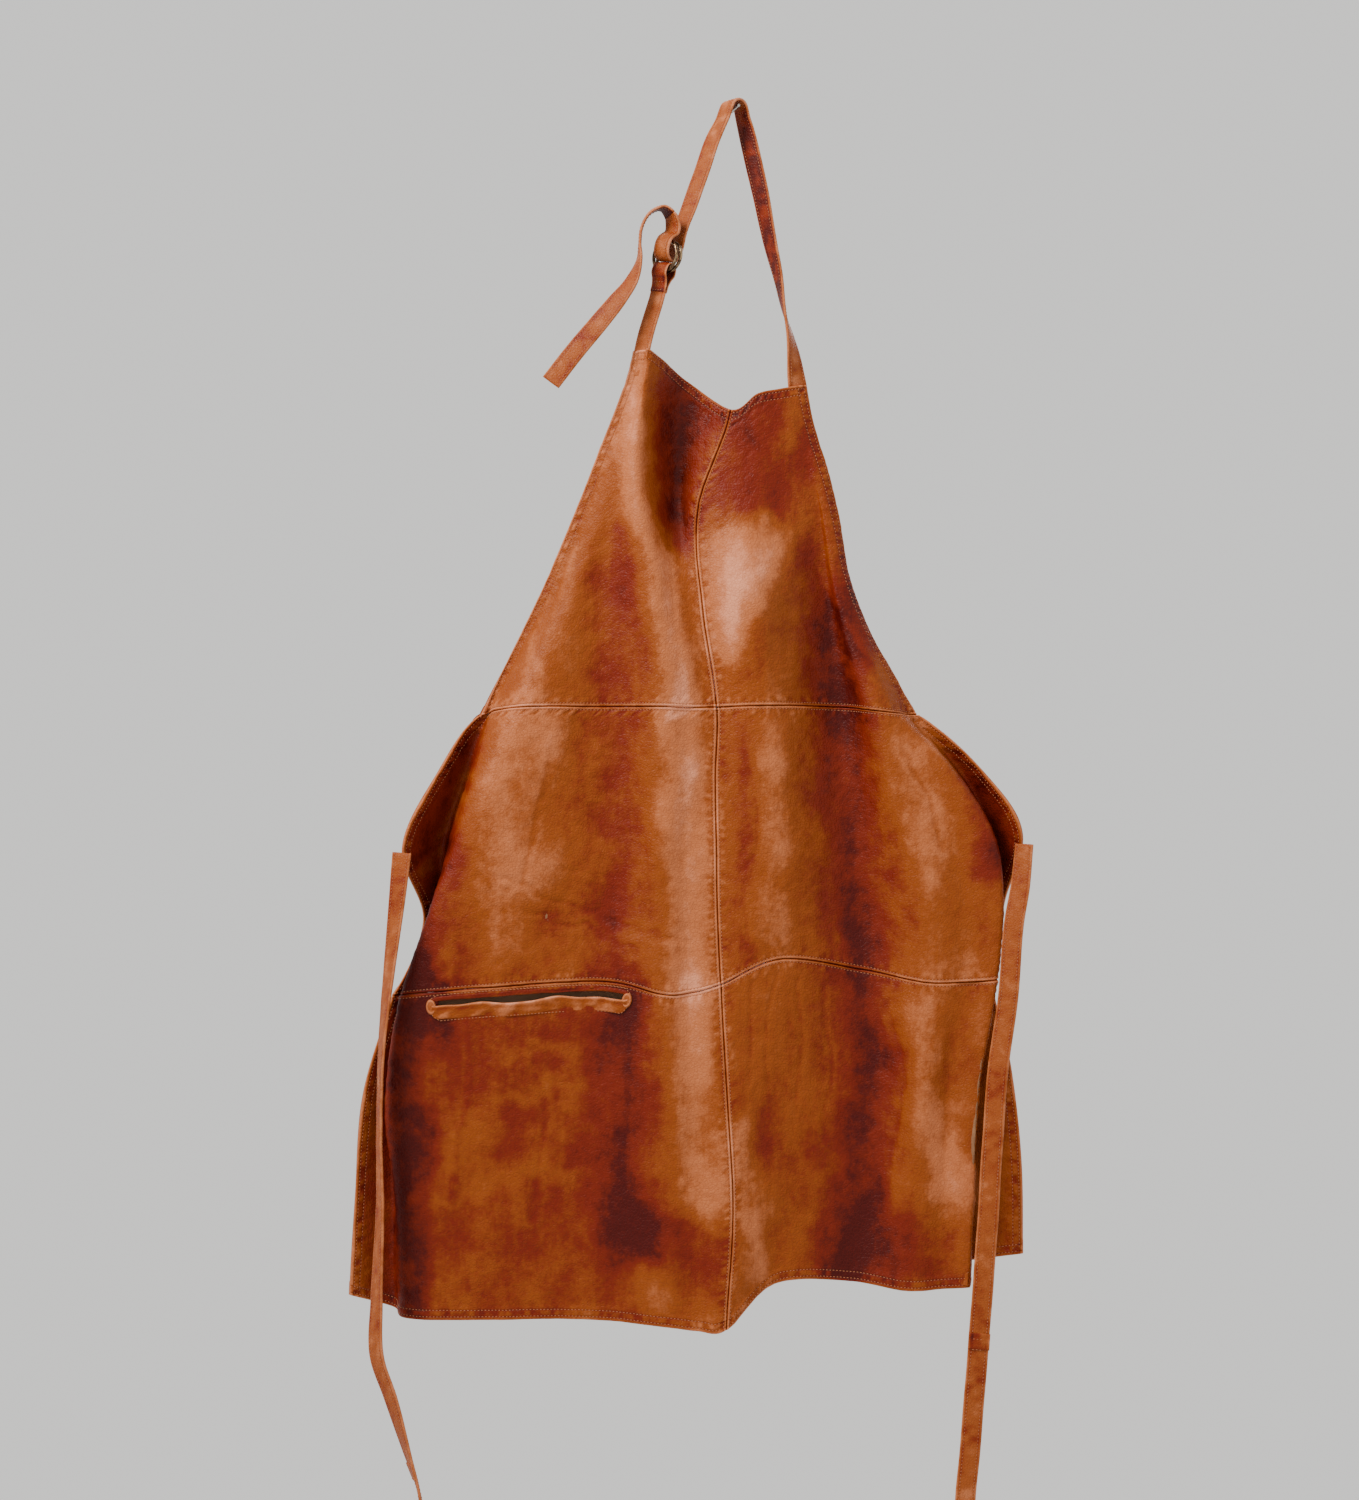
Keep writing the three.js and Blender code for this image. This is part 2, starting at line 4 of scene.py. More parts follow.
import bpy
import numpy as np
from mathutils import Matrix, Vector


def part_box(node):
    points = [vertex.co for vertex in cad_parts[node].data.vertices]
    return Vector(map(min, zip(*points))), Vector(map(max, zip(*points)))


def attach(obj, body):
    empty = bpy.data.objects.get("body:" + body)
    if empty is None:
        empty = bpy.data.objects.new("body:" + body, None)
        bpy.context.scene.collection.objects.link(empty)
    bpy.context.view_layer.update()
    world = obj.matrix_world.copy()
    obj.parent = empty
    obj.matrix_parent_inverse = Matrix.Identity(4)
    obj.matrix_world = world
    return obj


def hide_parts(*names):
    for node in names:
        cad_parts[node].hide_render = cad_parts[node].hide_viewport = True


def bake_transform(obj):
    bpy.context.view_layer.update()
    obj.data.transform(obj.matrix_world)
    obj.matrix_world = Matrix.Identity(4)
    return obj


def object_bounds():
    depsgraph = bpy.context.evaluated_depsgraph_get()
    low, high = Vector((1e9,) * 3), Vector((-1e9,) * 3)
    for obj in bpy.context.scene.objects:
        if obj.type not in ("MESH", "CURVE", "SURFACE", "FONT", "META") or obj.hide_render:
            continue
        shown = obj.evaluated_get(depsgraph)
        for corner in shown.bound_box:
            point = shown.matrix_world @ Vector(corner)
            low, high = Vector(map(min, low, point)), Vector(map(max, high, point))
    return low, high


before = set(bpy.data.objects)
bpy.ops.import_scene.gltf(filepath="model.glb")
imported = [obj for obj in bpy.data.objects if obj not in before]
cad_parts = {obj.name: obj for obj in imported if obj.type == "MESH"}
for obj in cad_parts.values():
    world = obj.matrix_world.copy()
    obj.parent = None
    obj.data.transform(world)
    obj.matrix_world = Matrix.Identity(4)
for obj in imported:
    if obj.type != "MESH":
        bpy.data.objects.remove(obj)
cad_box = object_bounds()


# ---------------------------------------------------------------- the room
# A plain pale floor below the waist ties, an even pale surround and soft studio
# lights. The camera stands level, square to the apron and a few steps off.
def stage_floor(height, radius, sides=96):
    """A flat disc: one face whose points stand on a circle."""
    turn = np.linspace(0, 2 * math.pi, sides + 1)[:-1]
    rim = np.stack([radius * np.cos(turn), radius * np.sin(turn), np.full(sides, height)], 1)
    mesh = bpy.data.meshes.new("floor")
    mesh.from_pydata(rim, [], [list(range(sides))])
    floor = bpy.data.objects.new("floor", mesh)
    bpy.context.collection.objects.link(floor)
    paint = bpy.data.materials.new("pale_floor")
    paint.use_nodes = True
    surface = paint.node_tree.nodes["Principled BSDF"]
    surface.inputs["Base Color"].default_value = (0.62, 0.60, 0.57, 1)
    surface.inputs["Roughness"].default_value = 0.85
    mesh.materials.append(paint)


FLOOR_BELOW = 0.06  # under the lowest tie end
FLOOR_RADIUS = 1.05
low_corner = Vector(cad_box[0])
stage_floor(low_corner.z - FLOOR_BELOW, FLOOR_RADIUS)

VIEW_HEIGHT = 1.38  # how much of the wall the picture takes in, top to bottom
VIEW_DISTANCE = 2.35
VIEW_MIDDLE = Vector((-0.054, -0.045, -0.598))
SENSOR = 36.0
camera_data = bpy.data.cameras.new("camera")
camera_data.sensor_width = SENSOR
camera_data.lens = SENSOR * VIEW_DISTANCE / VIEW_HEIGHT
camera = bpy.data.objects.new("camera", camera_data)
camera.location = VIEW_MIDDLE - Vector((0, VIEW_DISTANCE, 0))
camera.rotation_euler = (math.pi / 2, 0, 0)
bpy.context.collection.objects.link(camera)
bpy.context.scene.camera = camera


LIGHT_AIM = Vector((0, 0, -0.65))


def soft_light(name, place, size, power, tint=(1, 1, 1)):
    """A square area light at a place, aimed at the middle of the apron."""
    lamp = bpy.data.lights.new(name, "AREA")
    lamp.size = size
    lamp.energy = power
    lamp.color = tint
    light = bpy.data.objects.new(name, lamp)
    light.location = place
    light.rotation_euler = (LIGHT_AIM - Vector(place)).to_track_quat("-Z", "Y").to_euler()
    bpy.context.collection.objects.link(light)


soft_light("key", (-1.5, -1.2, 1.2), 0.8, 92, (1.0, 0.96, 0.91))
soft_light("fill", (1.9, -1.6, 0.1), 1.6, 8, (1.0, 0.95, 0.90))
soft_light("behind", (0.6, 2.0, 0.6), 1.6, 30)

world = bpy.data.worlds.new("studio")
world.use_nodes = True
world.node_tree.nodes["Background"].inputs["Color"].default_value = (0.93, 0.92, 0.90, 1)
world.node_tree.nodes["Background"].inputs["Strength"].default_value = 1.0
bpy.context.scene.world = world


# --------------------------------------------------------------- materials
# Waxed leather, its flesh side and waxed thread. One small class lets a node's
# output stand in sums, and another builds a material node by node.
MM = 0.001


class Value:
    """A material node's output, which works in sums with numbers and other outputs."""

    def __init__(self, tree, socket):
        self.tree, self.socket = tree, socket

    def math(self, operation, other):
        """A Math node on this output and one more value."""
        node = self.tree.nodes.new("ShaderNodeMath")
        node.operation = operation
        plug(self.tree, self, node.inputs[0])
        plug(self.tree, other, node.inputs[1])
        return Value(self.tree, node.outputs[0])

    def __add__(self, other):
        return self.math("ADD", other)

    def __mul__(self, other):
        return self.math("MULTIPLY", other)

    def __sub__(self, other):
        return self.math("SUBTRACT", other)

    def __rsub__(self, other):
        return (self * -1) + other

    __radd__ = __add__
    __rmul__ = __mul__

    def between(self, low, high):
        """How far this value has come from low to high, from 0 to 1, with soft ends."""
        node = self.tree.nodes.new("ShaderNodeMapRange")
        node.interpolation_type = "SMOOTHSTEP"
        plug(self.tree, self, node.inputs["Value"])
        node.inputs["From Min"].default_value = low
        node.inputs["From Max"].default_value = high
        return Value(self.tree, node.outputs[0])


def plug(tree, value, socket):
    """Links an output to a socket, or sets the socket to a number or a colour."""
    if isinstance(value, Value):
        tree.links.new(value.socket, socket)
    elif isinstance(value, tuple) and len(value) == 3 and socket.type == "RGBA":
        socket.default_value = (*value, 1)
    else:
        socket.default_value = value


class Finish:
    """A material under construction: add() makes any node, mix() blends colours."""

    def __init__(self, name):
        self.material = bpy.data.materials.new(name)
        self.material.use_nodes = True
        self.tree = self.material.node_tree
        self.surface = self.tree.nodes["Principled BSDF"]

    def add(self, kind, settings=None, inputs=None, output=0):
        """One node of a kind, with its settings first and then its inputs."""
        node = self.tree.nodes.new("ShaderNode" + kind)
        for name, setting in (settings or {}).items():
            setattr(node, name, setting)
        for name, value in (inputs or {}).items():
            plug(self.tree, value, node.inputs[name])
        return Value(self.tree, node.outputs[output])

    def mix(self, share, first, second):
        """A colour between first and second, by share."""
        node = self.tree.nodes.new("ShaderNodeMix")
        node.data_type = "RGBA"
        plug(self.tree, share, node.inputs[0])
        plug(self.tree, first, node.inputs[6])
        plug(self.tree, second, node.inputs[7])
        return Value(self.tree, node.outputs[2])

    def place(self):
        """Where a point is on the hung apron, in metres."""
        return self.add("TexCoord", output=3)

    def noise(self, place, scale, detail=3.0, rough=0.55, stretch=None):
        """Soft noise of a scale per metre, drawn out by stretch along each axis."""
        if stretch:
            place = self.add("Mapping", inputs={"Vector": place, "Scale": stretch})
        inputs = {"Vector": place, "Scale": scale, "Detail": detail, "Roughness": rough}
        return self.add("TexNoise", inputs=inputs)

    def attribute(self, name):
        """A number kept on the mesh's points."""
        return self.add("Attribute", {"attribute_name": name}, output=2)

    def bumps(self, *layers):
        """Bump nodes one on another, from (height, metres) pairs, into Normal."""
        normal = None
        for height, depth in layers:
            inputs = {"Height": height, "Distance": depth, "Strength": 1.0}
            if normal:
                inputs["Normal"] = normal
            normal = self.add("Bump", inputs=inputs)
        self.shade("Normal", normal)

    def shade(self, name, value):
        """Sets or links one of the surface's own sockets."""
        plug(self.tree, value, self.surface.inputs[name])


def waxed_leather(name, tones, grain=1.0):
    """Waxed leather in five tones, from the darkest painted shade to the brightest
    painted highlight.

    The tone is one number kept on the mesh's points less another, with cloudy
    noise added. The first makes the leather paler where it is stretched and paints
    highlight on lit ridges. The second darkens it as the wax's own patina and
    paints shade in folds, creases and furrows.
    """
    finish = Finish(name)
    place = finish.place()
    cloud = finish.noise(place, 13, 5, 0.62) - 0.5
    mottle = finish.noise(place, 46, 5, 0.62) - 0.5
    fleck = finish.noise(place, 240, 3, 0.6) - 0.5
    streak = finish.noise(place, 60, 5, 0.65, stretch=(1.0, 1.0, 0.16)) - 0.5
    pull = finish.attribute("pull")
    hollow = finish.attribute("hollow")
    pebble = finish.add("TexVoronoi", {"feature": "SMOOTH_F1"}, {"Vector": place, "Scale": 640 * grain})
    cracks = {"Vector": place, "Scale": 300 * grain}
    crackle = finish.add("TexVoronoi", {"feature": "DISTANCE_TO_EDGE"}, cracks)
    tone = pull - hollow - 0.12 + cloud * 0.9 + mottle * 1.1 + streak * 0.7 + fleck * 0.5
    leather = tones[0]
    stations = ((-1.25, -0.7), (-0.75, -0.05), (-0.05, 0.6), (0.6, 1.3))  # of tone, between the colours
    for (low, high), colour in zip(stations, tones[1:]):
        leather = finish.mix(tone.between(low, high), leather, colour)
    lines = 1 - crackle.between(0.0, 0.14)
    leather = finish.mix(lines * 0.14, leather, tones[1])
    finish.shade("Base Color", leather)
    finish.shade("Roughness", mottle * 0.3 + fleck * 0.15 + 0.5)
    finish.shade("Specular IOR Level", 0.17)
    grooves = crackle.between(0.0, 0.2)
    finish.bumps((mottle, 0.8 * MM), (pebble, 0.3 * MM), (grooves, 0.16 * MM), (fleck, 0.25 * MM))
    return finish.material


def suede(name, mid, dark):
    """The leather's flesh side: a dry, short, cloudy nap."""
    finish = Finish(name)
    place = finish.place()
    nap = finish.noise(place, 1400, 2, 0.7)
    cloud = finish.noise(place, 24, 4, 0.6)
    finish.shade("Base Color", finish.mix((cloud * 0.6 + nap * 0.4).between(0.35, 0.65), dark, mid))
    finish.shade("Roughness", 0.93)
    finish.shade("Specular IOR Level", 0.2)
    finish.bumps((nap, 0.5 * MM), (cloud, 1.0 * MM))
    return finish.material


def thread_finish(name, colour):
    """Waxed thread: a fine twist of two tones."""
    finish = Finish(name)
    place = finish.place()
    twist = finish.noise(place, 1500, 2, 0.5)
    darker = tuple(0.5 * channel for channel in colour)
    finish.shade("Base Color", finish.mix(twist, darker, colour))
    finish.shade("Roughness", 0.62)
    finish.bumps((twist, 0.3 * MM))
    return finish.material


# From the darkest painted shade to the brightest painted highlight, with the leather's own tones between.
STRAP_TONES = (
    (0.060, 0.002, 0.0), (0.17, 0.014, 0.0), (0.28, 0.062, 0.008),
    (0.43, 0.130, 0.044), (0.58, 0.22, 0.115),
)
STRAP_LEATHER = waxed_leather("strap_leather", STRAP_TONES, 1.25)
THREAD = thread_finish("waxed_thread", (0.46, 0.150, 0.055))


# ------------------------------------------------------ straps and stitches
# A strap is a flat section carried along a smooth route, and a row of stitches
# is a row of short threads that rise out of the leather and dip back in.
STRAP_WIDTH = 19 * MM
STRAP_THICKNESS = 2.6 * MM
STITCH_INSET = 3.1 * MM  # of a strap's two rows, in from its edges
STITCH_LENGTH = 2.2 * MM
STITCH_GAP = 1.0 * MM
THREAD_RADIUS = 0.36 * MM


def unit(vectors):
    """Each vector of an array, at length one."""
    return vectors / np.linalg.norm(vectors, axis=-1, keepdims=True)


def bell(distance, width):
    """A soft hump: 1 where distance is 0, and 1/e where it is width."""
    return np.exp(-((distance / width) ** 2))


def run_of(line):
    """The running length at each point of a line."""
    return np.r_[0, np.cumsum(np.linalg.norm(np.diff(line, axis=0), axis=1))]


def smooth_line(stops, count):
    """A smooth curve through stops, whose first three numbers are a place.

    The knots lie as far apart as the square roots of the distances. Each
    stretch is the cubic with, at a stop, the slope of the parabola through
    that stop and its two neighbours.
    """
    gaps = np.sqrt(np.linalg.norm(np.diff(stops[:, :3], axis=0), axis=1))
    knots = np.r_[0, np.cumsum(gaps)]
    rise = np.diff(stops, axis=0) / gaps[:, None]
    middle = (rise[:-1] * gaps[1:, None] + rise[1:] * gaps[:-1, None]) / (gaps[:-1] + gaps[1:])[:, None]
    slope = np.concatenate([rise[:1], middle, rise[-1:]])
    at = np.linspace(0, knots[-1], count)
    cell = np.clip(np.searchsorted(knots, at, side="right") - 1, 0, len(gaps) - 1)
    f = ((at - knots[cell]) / gaps[cell])[:, None]
    wide = gaps[cell][:, None]
    leave = (1 - 3 * f**2 + 2 * f**3) * stops[cell] + (f - 2 * f**2 + f**3) * wide * slope[cell]
    return leave + (3 * f**2 - 2 * f**3) * stops[cell + 1] + (f**3 - f**2) * wide * slope[cell + 1]


def strap_frames(route, span=(0, 1), step=1.6 * MM):
    """Points at even steps along a route, with the strap's width and face there.

    A route's point is x, y, z in millimetres and the width's turn in degrees from
    +X towards -Y, or the width itself as three numbers. The face is square to
    the line and the width. span keeps the part of the route between two shares.
    """
    stops = np.array([[*point[:3], *width_of(point)] for point in route], float)
    fine = smooth_line(stops, 60 * len(stops))
    run = run_of(fine[:, :3])
    low, high = span[0] * run[-1], span[1] * run[-1]
    even = np.linspace(low, high, max(int((high - low) * MM / step), 4) + 1)
    table = np.stack([np.interp(even, run, column) for column in fine.T], 1)
    line = table[:, :3] * MM
    along = unit(np.gradient(line, axis=0))
    across = unit(table[:, 3:] - along * np.sum(table[:, 3:] * along, 1, keepdims=True))
    return line, along, across, np.cross(along, across)


def width_of(point):
    """A route point's width: its own three numbers, or level at its turn."""
    if len(point) > 4:
        return point[3:6]
    turn = math.radians(point[3])
    return math.cos(turn), -math.sin(turn), 0.0


def section(width, thickness, points=36):
    """A strap's section: a flat bar with round edges, a little full in the middle.

    Its edges are half circles of half the thickness, and the two faces are
    drawn in by 0.35 mm where the rows of stitches pull them down.
    """
    edge = thickness / 2
    half = width / 2 - edge
    flat = np.linspace(-1, 1, points // 2 - 5)
    arc = np.linspace(-math.pi / 2, math.pi / 2, 7)[1:-1]
    furrow = 0.35 * MM * bell(np.abs(flat) - 0.74, 0.075) - 0.18 * MM * (1 - flat**2)
    front = np.stack([flat * half, edge - furrow], 1)
    right = np.stack([half + edge * np.cos(arc), -edge * np.sin(arc)], 1)
    back = np.stack([-flat * half, -edge + furrow], 1)
    left = np.stack([-half - edge * np.cos(arc), edge * np.sin(arc)], 1)
    return np.concatenate([front, right, back, left])


def new_piece(name, points, faces, materials):
    """A smooth mesh object at the origin, from arrays of points and faces."""
    mesh = bpy.data.meshes.new(name)
    mesh.from_pydata(points, [], faces)
    for material in materials:
        mesh.materials.append(material)
    mesh.polygons.foreach_set("use_smooth", [True] * len(mesh.polygons))
    mesh.update()
    piece = bpy.data.objects.new(name, mesh)
    bpy.context.collection.objects.link(piece)
    return piece


def mark(piece, **numbers):
    """Keeps arrays of numbers on a mesh's points, by name."""
    for name, values in numbers.items():
        kept = piece.data.attributes.new(name, "FLOAT", "POINT")
        kept.data.foreach_set("value", np.asarray(values, np.float32).ravel())


def grid_faces(rows, columns, around=False):
    """Quads of a grid of rows by columns of points, joined round when asked."""
    down = np.arange(rows - 1)[:, None] * columns
    right = np.arange(columns if around else columns - 1)[None, :]
    after = (right + 1) % columns
    corners = [down + right, down + after, down + columns + after, down + columns + right]
    return np.stack(np.broadcast_arrays(*corners), -1).reshape(-1, 4)


def grid_rim(rows, columns):
    """The points on the rim of a grid, in order round it, and the one after each."""
    rim = np.concatenate([
        np.arange(columns), np.arange(1, rows) * columns + columns - 1,
        (rows - 1) * columns + np.arange(columns - 2, -1, -1), np.arange(rows - 2, 0, -1) * columns,
    ])
    return rim, np.roll(rim, -1)


def ripples(x, z, seed, low, high, count=26):
    """A sum of sine waves of random headings, with lengths from low to high metres."""
    wander = np.random.default_rng(seed)
    total = np.zeros_like(x)
    for _ in range(count):
        heading = wander.uniform(0, math.pi)
        wave = 2 * math.pi / (low * (high / low) ** wander.uniform())
        along = x * math.cos(heading) + z * math.sin(heading)
        total += np.sin(wave * along + wander.uniform(0, 6.3))
    return total / math.sqrt(count / 2)


def strap_piece(
    name, route, seed, width=STRAP_WIDTH, thickness=STRAP_THICKNESS, span=(0, 1),
    inner=0.0, shade=0.0, shaded_start=0.0,
):
    """A closed strap: its section carried along the route, with blunt ends.

    Its width and face waver by a few tenths of a millimetre, a sum of five sine
    waves. The leather is palest on its edges and where it bends, and a little darker
    along its stitch rows as painted shade in their furrows; inner paints shade on
    the face that looks along the route's own face direction, or on the other face
    where it is negative, shade paints shade on the whole strap, and shaded_start
    paints shade on its first 30 mm.
    """
    line, along, across, face = strap_frames(route, span=span)
    profile = section(width, thickness)
    count, ring = len(line), len(profile)
    share = np.ones(count)
    share[[0, -1]] = 0.8
    wander = np.random.default_rng(seed)
    run = run_of(line)
    wave = sum(
        wander.uniform(0.04, 0.12) * MM * np.sin(run / wander.uniform(0.004, 0.03) + wander.uniform(0, 6))
        for _ in range(5)
    )
    sides = across[:, None, :] * (profile[None, :, :1] + wave[:, None, None])
    fronts = face[:, None, :] * (profile[None, :, 1:] * share[:, None, None] + wave[:, None, None])
    points = (line[:, None, :] + sides + fronts).reshape(-1, 3)
    ends = np.array([line[0] - along[0] * 0.2 * MM, line[-1] + along[-1] * 0.2 * MM])
    body = grid_faces(count, ring, around=True)[:, ::-1]
    loop = np.arange(ring)
    after = (loop + 1) % ring
    first, last = count * ring, count * ring + 1
    start = np.stack([np.full(ring, first), loop, after], 1)
    stop = np.stack([np.full(ring, last), (count - 1) * ring + after, (count - 1) * ring + loop], 1)
    faces = body.tolist() + start.tolist() + stop.tolist()
    piece = new_piece(name, np.concatenate([points, ends]), faces, [STRAP_LEATHER])
    bend = np.linalg.norm(np.gradient(along, axis=0), axis=1) / np.gradient(run)
    sideways = np.abs(profile[:, 0]) / (width / 2)
    edge = np.clip(sideways - 0.8, 0, 0.2) / 0.2
    row = bell(sideways - 0.68, 0.07)
    along_run, across_run = np.broadcast_arrays(run[:, None], profile[None, :, 0])
    wear = 0.14 * ripples(along_run, across_run, seed + 3, 8 * MM, 50 * MM, 24)
    # Pale on the edges and bends; a little darker on the stitch rows as painted shade in their furrows.
    pull = 0.7 * edge[None, :] + np.clip(bend[:, None] / 90, 0, 0.5) + wear - 0.5 * row[None, :]
    inner_face = profile[:, 1] * np.sign(inner) > 0.3 * thickness
    # The inner face, the whole strap and its start take painted shade.
    inside = inner_face * abs(inner) * (1 - edge) + shade * (1 - edge)
    start_shade = shaded_start * np.exp(-((run / (30 * MM)) ** 4))
    hollow = inside[None, :] + start_shade[:, None] * (1 - edge)[None, :]
    mark(piece, pull=np.r_[pull.ravel(), 0.5, 0.5], hollow=np.r_[hollow.ravel(), 0, 0])
    return piece


def stitch_row(line, along, outward):
    """Stitches along a line: each a thread that rises out of the leather and dips back.

    A stitch is a tube of five rings of six points. Its middle stands on the
    surface, and its ends sink into it by the thread's own thickness.
    """
    run = run_of(line)
    count = int((run[-1] - STITCH_GAP) / (STITCH_LENGTH + STITCH_GAP))
    starts = STITCH_GAP / 2 + np.arange(count) * (STITCH_LENGTH + STITCH_GAP)
    rings, sides = 5, 6
    at = starts[:, None] + np.linspace(0, 1, rings)[None, :] * STITCH_LENGTH
    centre, forward, out = (
        np.stack([np.interp(at, run, column) for column in field.T], -1) for field in (line, along, outward)
    )
    rise = THREAD_RADIUS * np.array([-1.1, 0.35, 0.6, 0.35, -1.1])
    thick = THREAD_RADIUS * np.array([0.55, 1.0, 1.0, 1.0, 0.55])
    side = unit(np.cross(forward, out))
    turn = np.arange(sides) * 2 * math.pi / sides
    spin = np.cos(turn)[:, None] * side[:, :, None, :] + np.sin(turn)[:, None] * out[:, :, None, :]
    points = (centre + out * rise[None, :, None])[:, :, None, :] + spin * thick[None, :, None, None]
    tube = grid_faces(rings, sides, around=True)
    caps = np.array([[3, 2, 1, 0], [5, 4, 3, 0], [24, 25, 26, 27], [24, 27, 28, 29]])
    cell = np.concatenate([tube[:, ::-1], caps[:, ::-1]])
    faces = cell[None] + (np.arange(count) * rings * sides)[:, None, None]
    return points.reshape(-1, 3), faces.reshape(-1, 4)


def stitches(name, rows, body=None, **blend):
    """All of a piece's stitch rows as one mesh, riding with a body."""
    made = [stitch_row(*row) for row in rows]
    offsets = np.cumsum([0] + [len(points) for points, _ in made[:-1]])
    points = np.concatenate([points for points, _ in made])
    faces = np.concatenate([faces + first for (_, faces), first in zip(made, offsets)])
    piece = new_piece(name, points, faces.tolist(), [THREAD])
    if blend:
        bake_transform(piece)
    else:
        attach(piece, body)


def strap_stitches(name, route, body=None, span=(0, 1), **blend):
    """A row of stitches along each edge of a strap, on its front and its back."""
    line, along, across, face = strap_frames(route, span=span)
    rows = []
    for side in (-1, 1):
        for front in (-1, 1):
            row = line + side * across * (STRAP_WIDTH / 2 - STITCH_INSET)
            row = row + front * face * (STRAP_THICKNESS / 2 - 0.2 * MM)
            rows.append((row, along, front * face))
    stitches(name, rows, body, **blend)


def cross_row(middle, across, face, half=7):
    """A short row of stitches across a strap, half millimetres to each side of a place."""
    row = middle + across * np.linspace(-half, half, 9)[:, None] * MM
    return row, np.tile(across, (9, 1)), np.tile(face, (9, 1))


# --------------------------------------------------------------- waist ties
# Long flat straps of waxed leather, folded and stitched along both edges. Each
# is sewn to a side corner of the waist, hangs free, and is pieced from two
# lengths. The upper one's end lies over the lower one, as a thin sewn patch.
LEFT_TIE = [
    (-308, -59, -692, 20), (-312, -62, -735, 34), (-318, -64, -791, 52),
    (-326, -66, -874, 70), (-327.5, -67, -945, 72), (-327, -67, -1010, 66),
    (-330, -67, -1100, 52), (-330, -67, -1150, 42), (-317, -68, -1189, 44),
    (-303, -69, -1235, 62), (-290, -70, -1280, 84), (-288, -70, -1330, 110),
    (-291, -70, -1400, 140), (-293, -70, -1470, 160), (-290, -69, -1535, 170),
    (-288, -68, -1590, 172),
]
RIGHT_TIE = [
    (261.5, -59, -684, 40), (257, -63, -722, 30), (251, -66, -756, 24),
    (245, -68, -828, 20), (236, -69, -887, 16), (231, -69, -960, 10),
    (225, -69, -1050, 4), (217, -69, -1156, 0), (210, -69, -1240, 0),
    (206, -69, -1290, -4), (208, -69, -1360, -12), (214, -68, -1430, -20),
    (222, -67, -1500, -26), (228, -66, -1584, -30),
]
# Each tie's route, the share of its length where the lap ends, and its seed.
TIES = {"left": (LEFT_TIE, 0.64, 5), "right": (RIGHT_TIE, 0.515, 9)}
LAP_THICKNESS = 1.4 * MM
for side, (route, lap, seed) in TIES.items():
    tie = strap_piece(f"waist_tie_{side}", route, seed)
    line, along, across, face = strap_frames(route)
    run = run_of(line)
    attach(tie, f"tie_{side}")
    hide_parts(f"waist_tie_{side}_upper", f"waist_tie_{side}_lower")
    strap_stitches(f"tie_stitches_{side}", route, f"tie_{side}")

    # Two rows close the lap, and two the tie's top.
    lap_line, _, lap_across, lap_face = strap_frames(route, (lap - 0.02, lap))
    over = (lap_line + lap_face * (STRAP_THICKNESS / 2 + 0.3 * MM)) / MM
    lap_route = [(*place, *way) for place, way in zip(over[::3], lap_across[::3])]
    lapped = strap_piece(
        f"tie_lap_{side}", lap_route, seed + 1,
        width=STRAP_WIDTH + 0.8 * MM, thickness=LAP_THICKNESS, shade=0.2,
    )
    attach(lapped, f"tie_{side}")
    cross_rows = []
    lap_end = lap * run[-1]
    for at, lift in ((3 * MM, 0), (9 * MM, 0), (lap_end - 3 * MM, 0.95), (lap_end - 13 * MM, 0.95)):
        k = int(np.argmin(np.abs(run - at)))
        middle = line[k] + face[k] * (STRAP_THICKNESS / 2 - 0.1 * MM + lift * MM)
        cross_rows.append(cross_row(middle, across[k], face[k], 6.4))
    stitches(f"tie_cross_rows_{side}", cross_rows, f"tie_{side}")


# ------------------------------------------------------------- peg and collar
# A slim steel rod let into the wall through a round collar, turned half to the
# right and rising a little, so that the strap can't slide off. Drawn and chamfered.
def steel_finish():
    """Drawn steel, with faint scratches and a dull cast."""
    finish = Finish("steel")
    place = finish.place()
    scratch = finish.noise(place, 900, 4, 0.7, stretch=(1.0, 1.0, 0.1))
    finish.shade("Base Color", finish.mix(scratch, (0.40, 0.39, 0.37), (0.60, 0.59, 0.56)))
    finish.shade("Metallic", 1.0)
    finish.shade("Roughness", scratch * 0.25 + 0.24)
    return finish.material


STEEL = steel_finish()
PEG_RADIUS = 2 * MM
PEG_TILT = math.radians(20)  # up from level
PEG_TURN = math.radians(40)  # to the right of straight out
PEG_FOOT = np.array((-15.17, -1.5, -7.57)) * MM


def turned(name, axis, stations, sides=48):
    """A turned steel solid from the peg's foot: rings of a radius at distances along an axis."""
    axis = unit(np.array(axis, float))
    side = unit(np.cross(axis, (0.31, 0.2, 0.93)))
    up = np.cross(axis, side)
    turn = np.arange(sides) * 2 * math.pi / sides
    wheel = np.cos(turn)[:, None] * side + np.sin(turn)[:, None] * up
    rings = [PEG_FOOT + axis * at + wheel * radius for at, radius in stations]
    faces = grid_faces(len(stations), sides, around=True).tolist()
    faces += [list(range(sides))[::-1], [(len(stations) - 1) * sides + k for k in range(sides)]]
    piece = new_piece(name, np.concatenate(rings), faces, [STEEL])
    bevel = piece.modifiers.new("edges", "BEVEL")
    bevel.width = 0.2 * MM
    bevel.segments = 3
    return piece


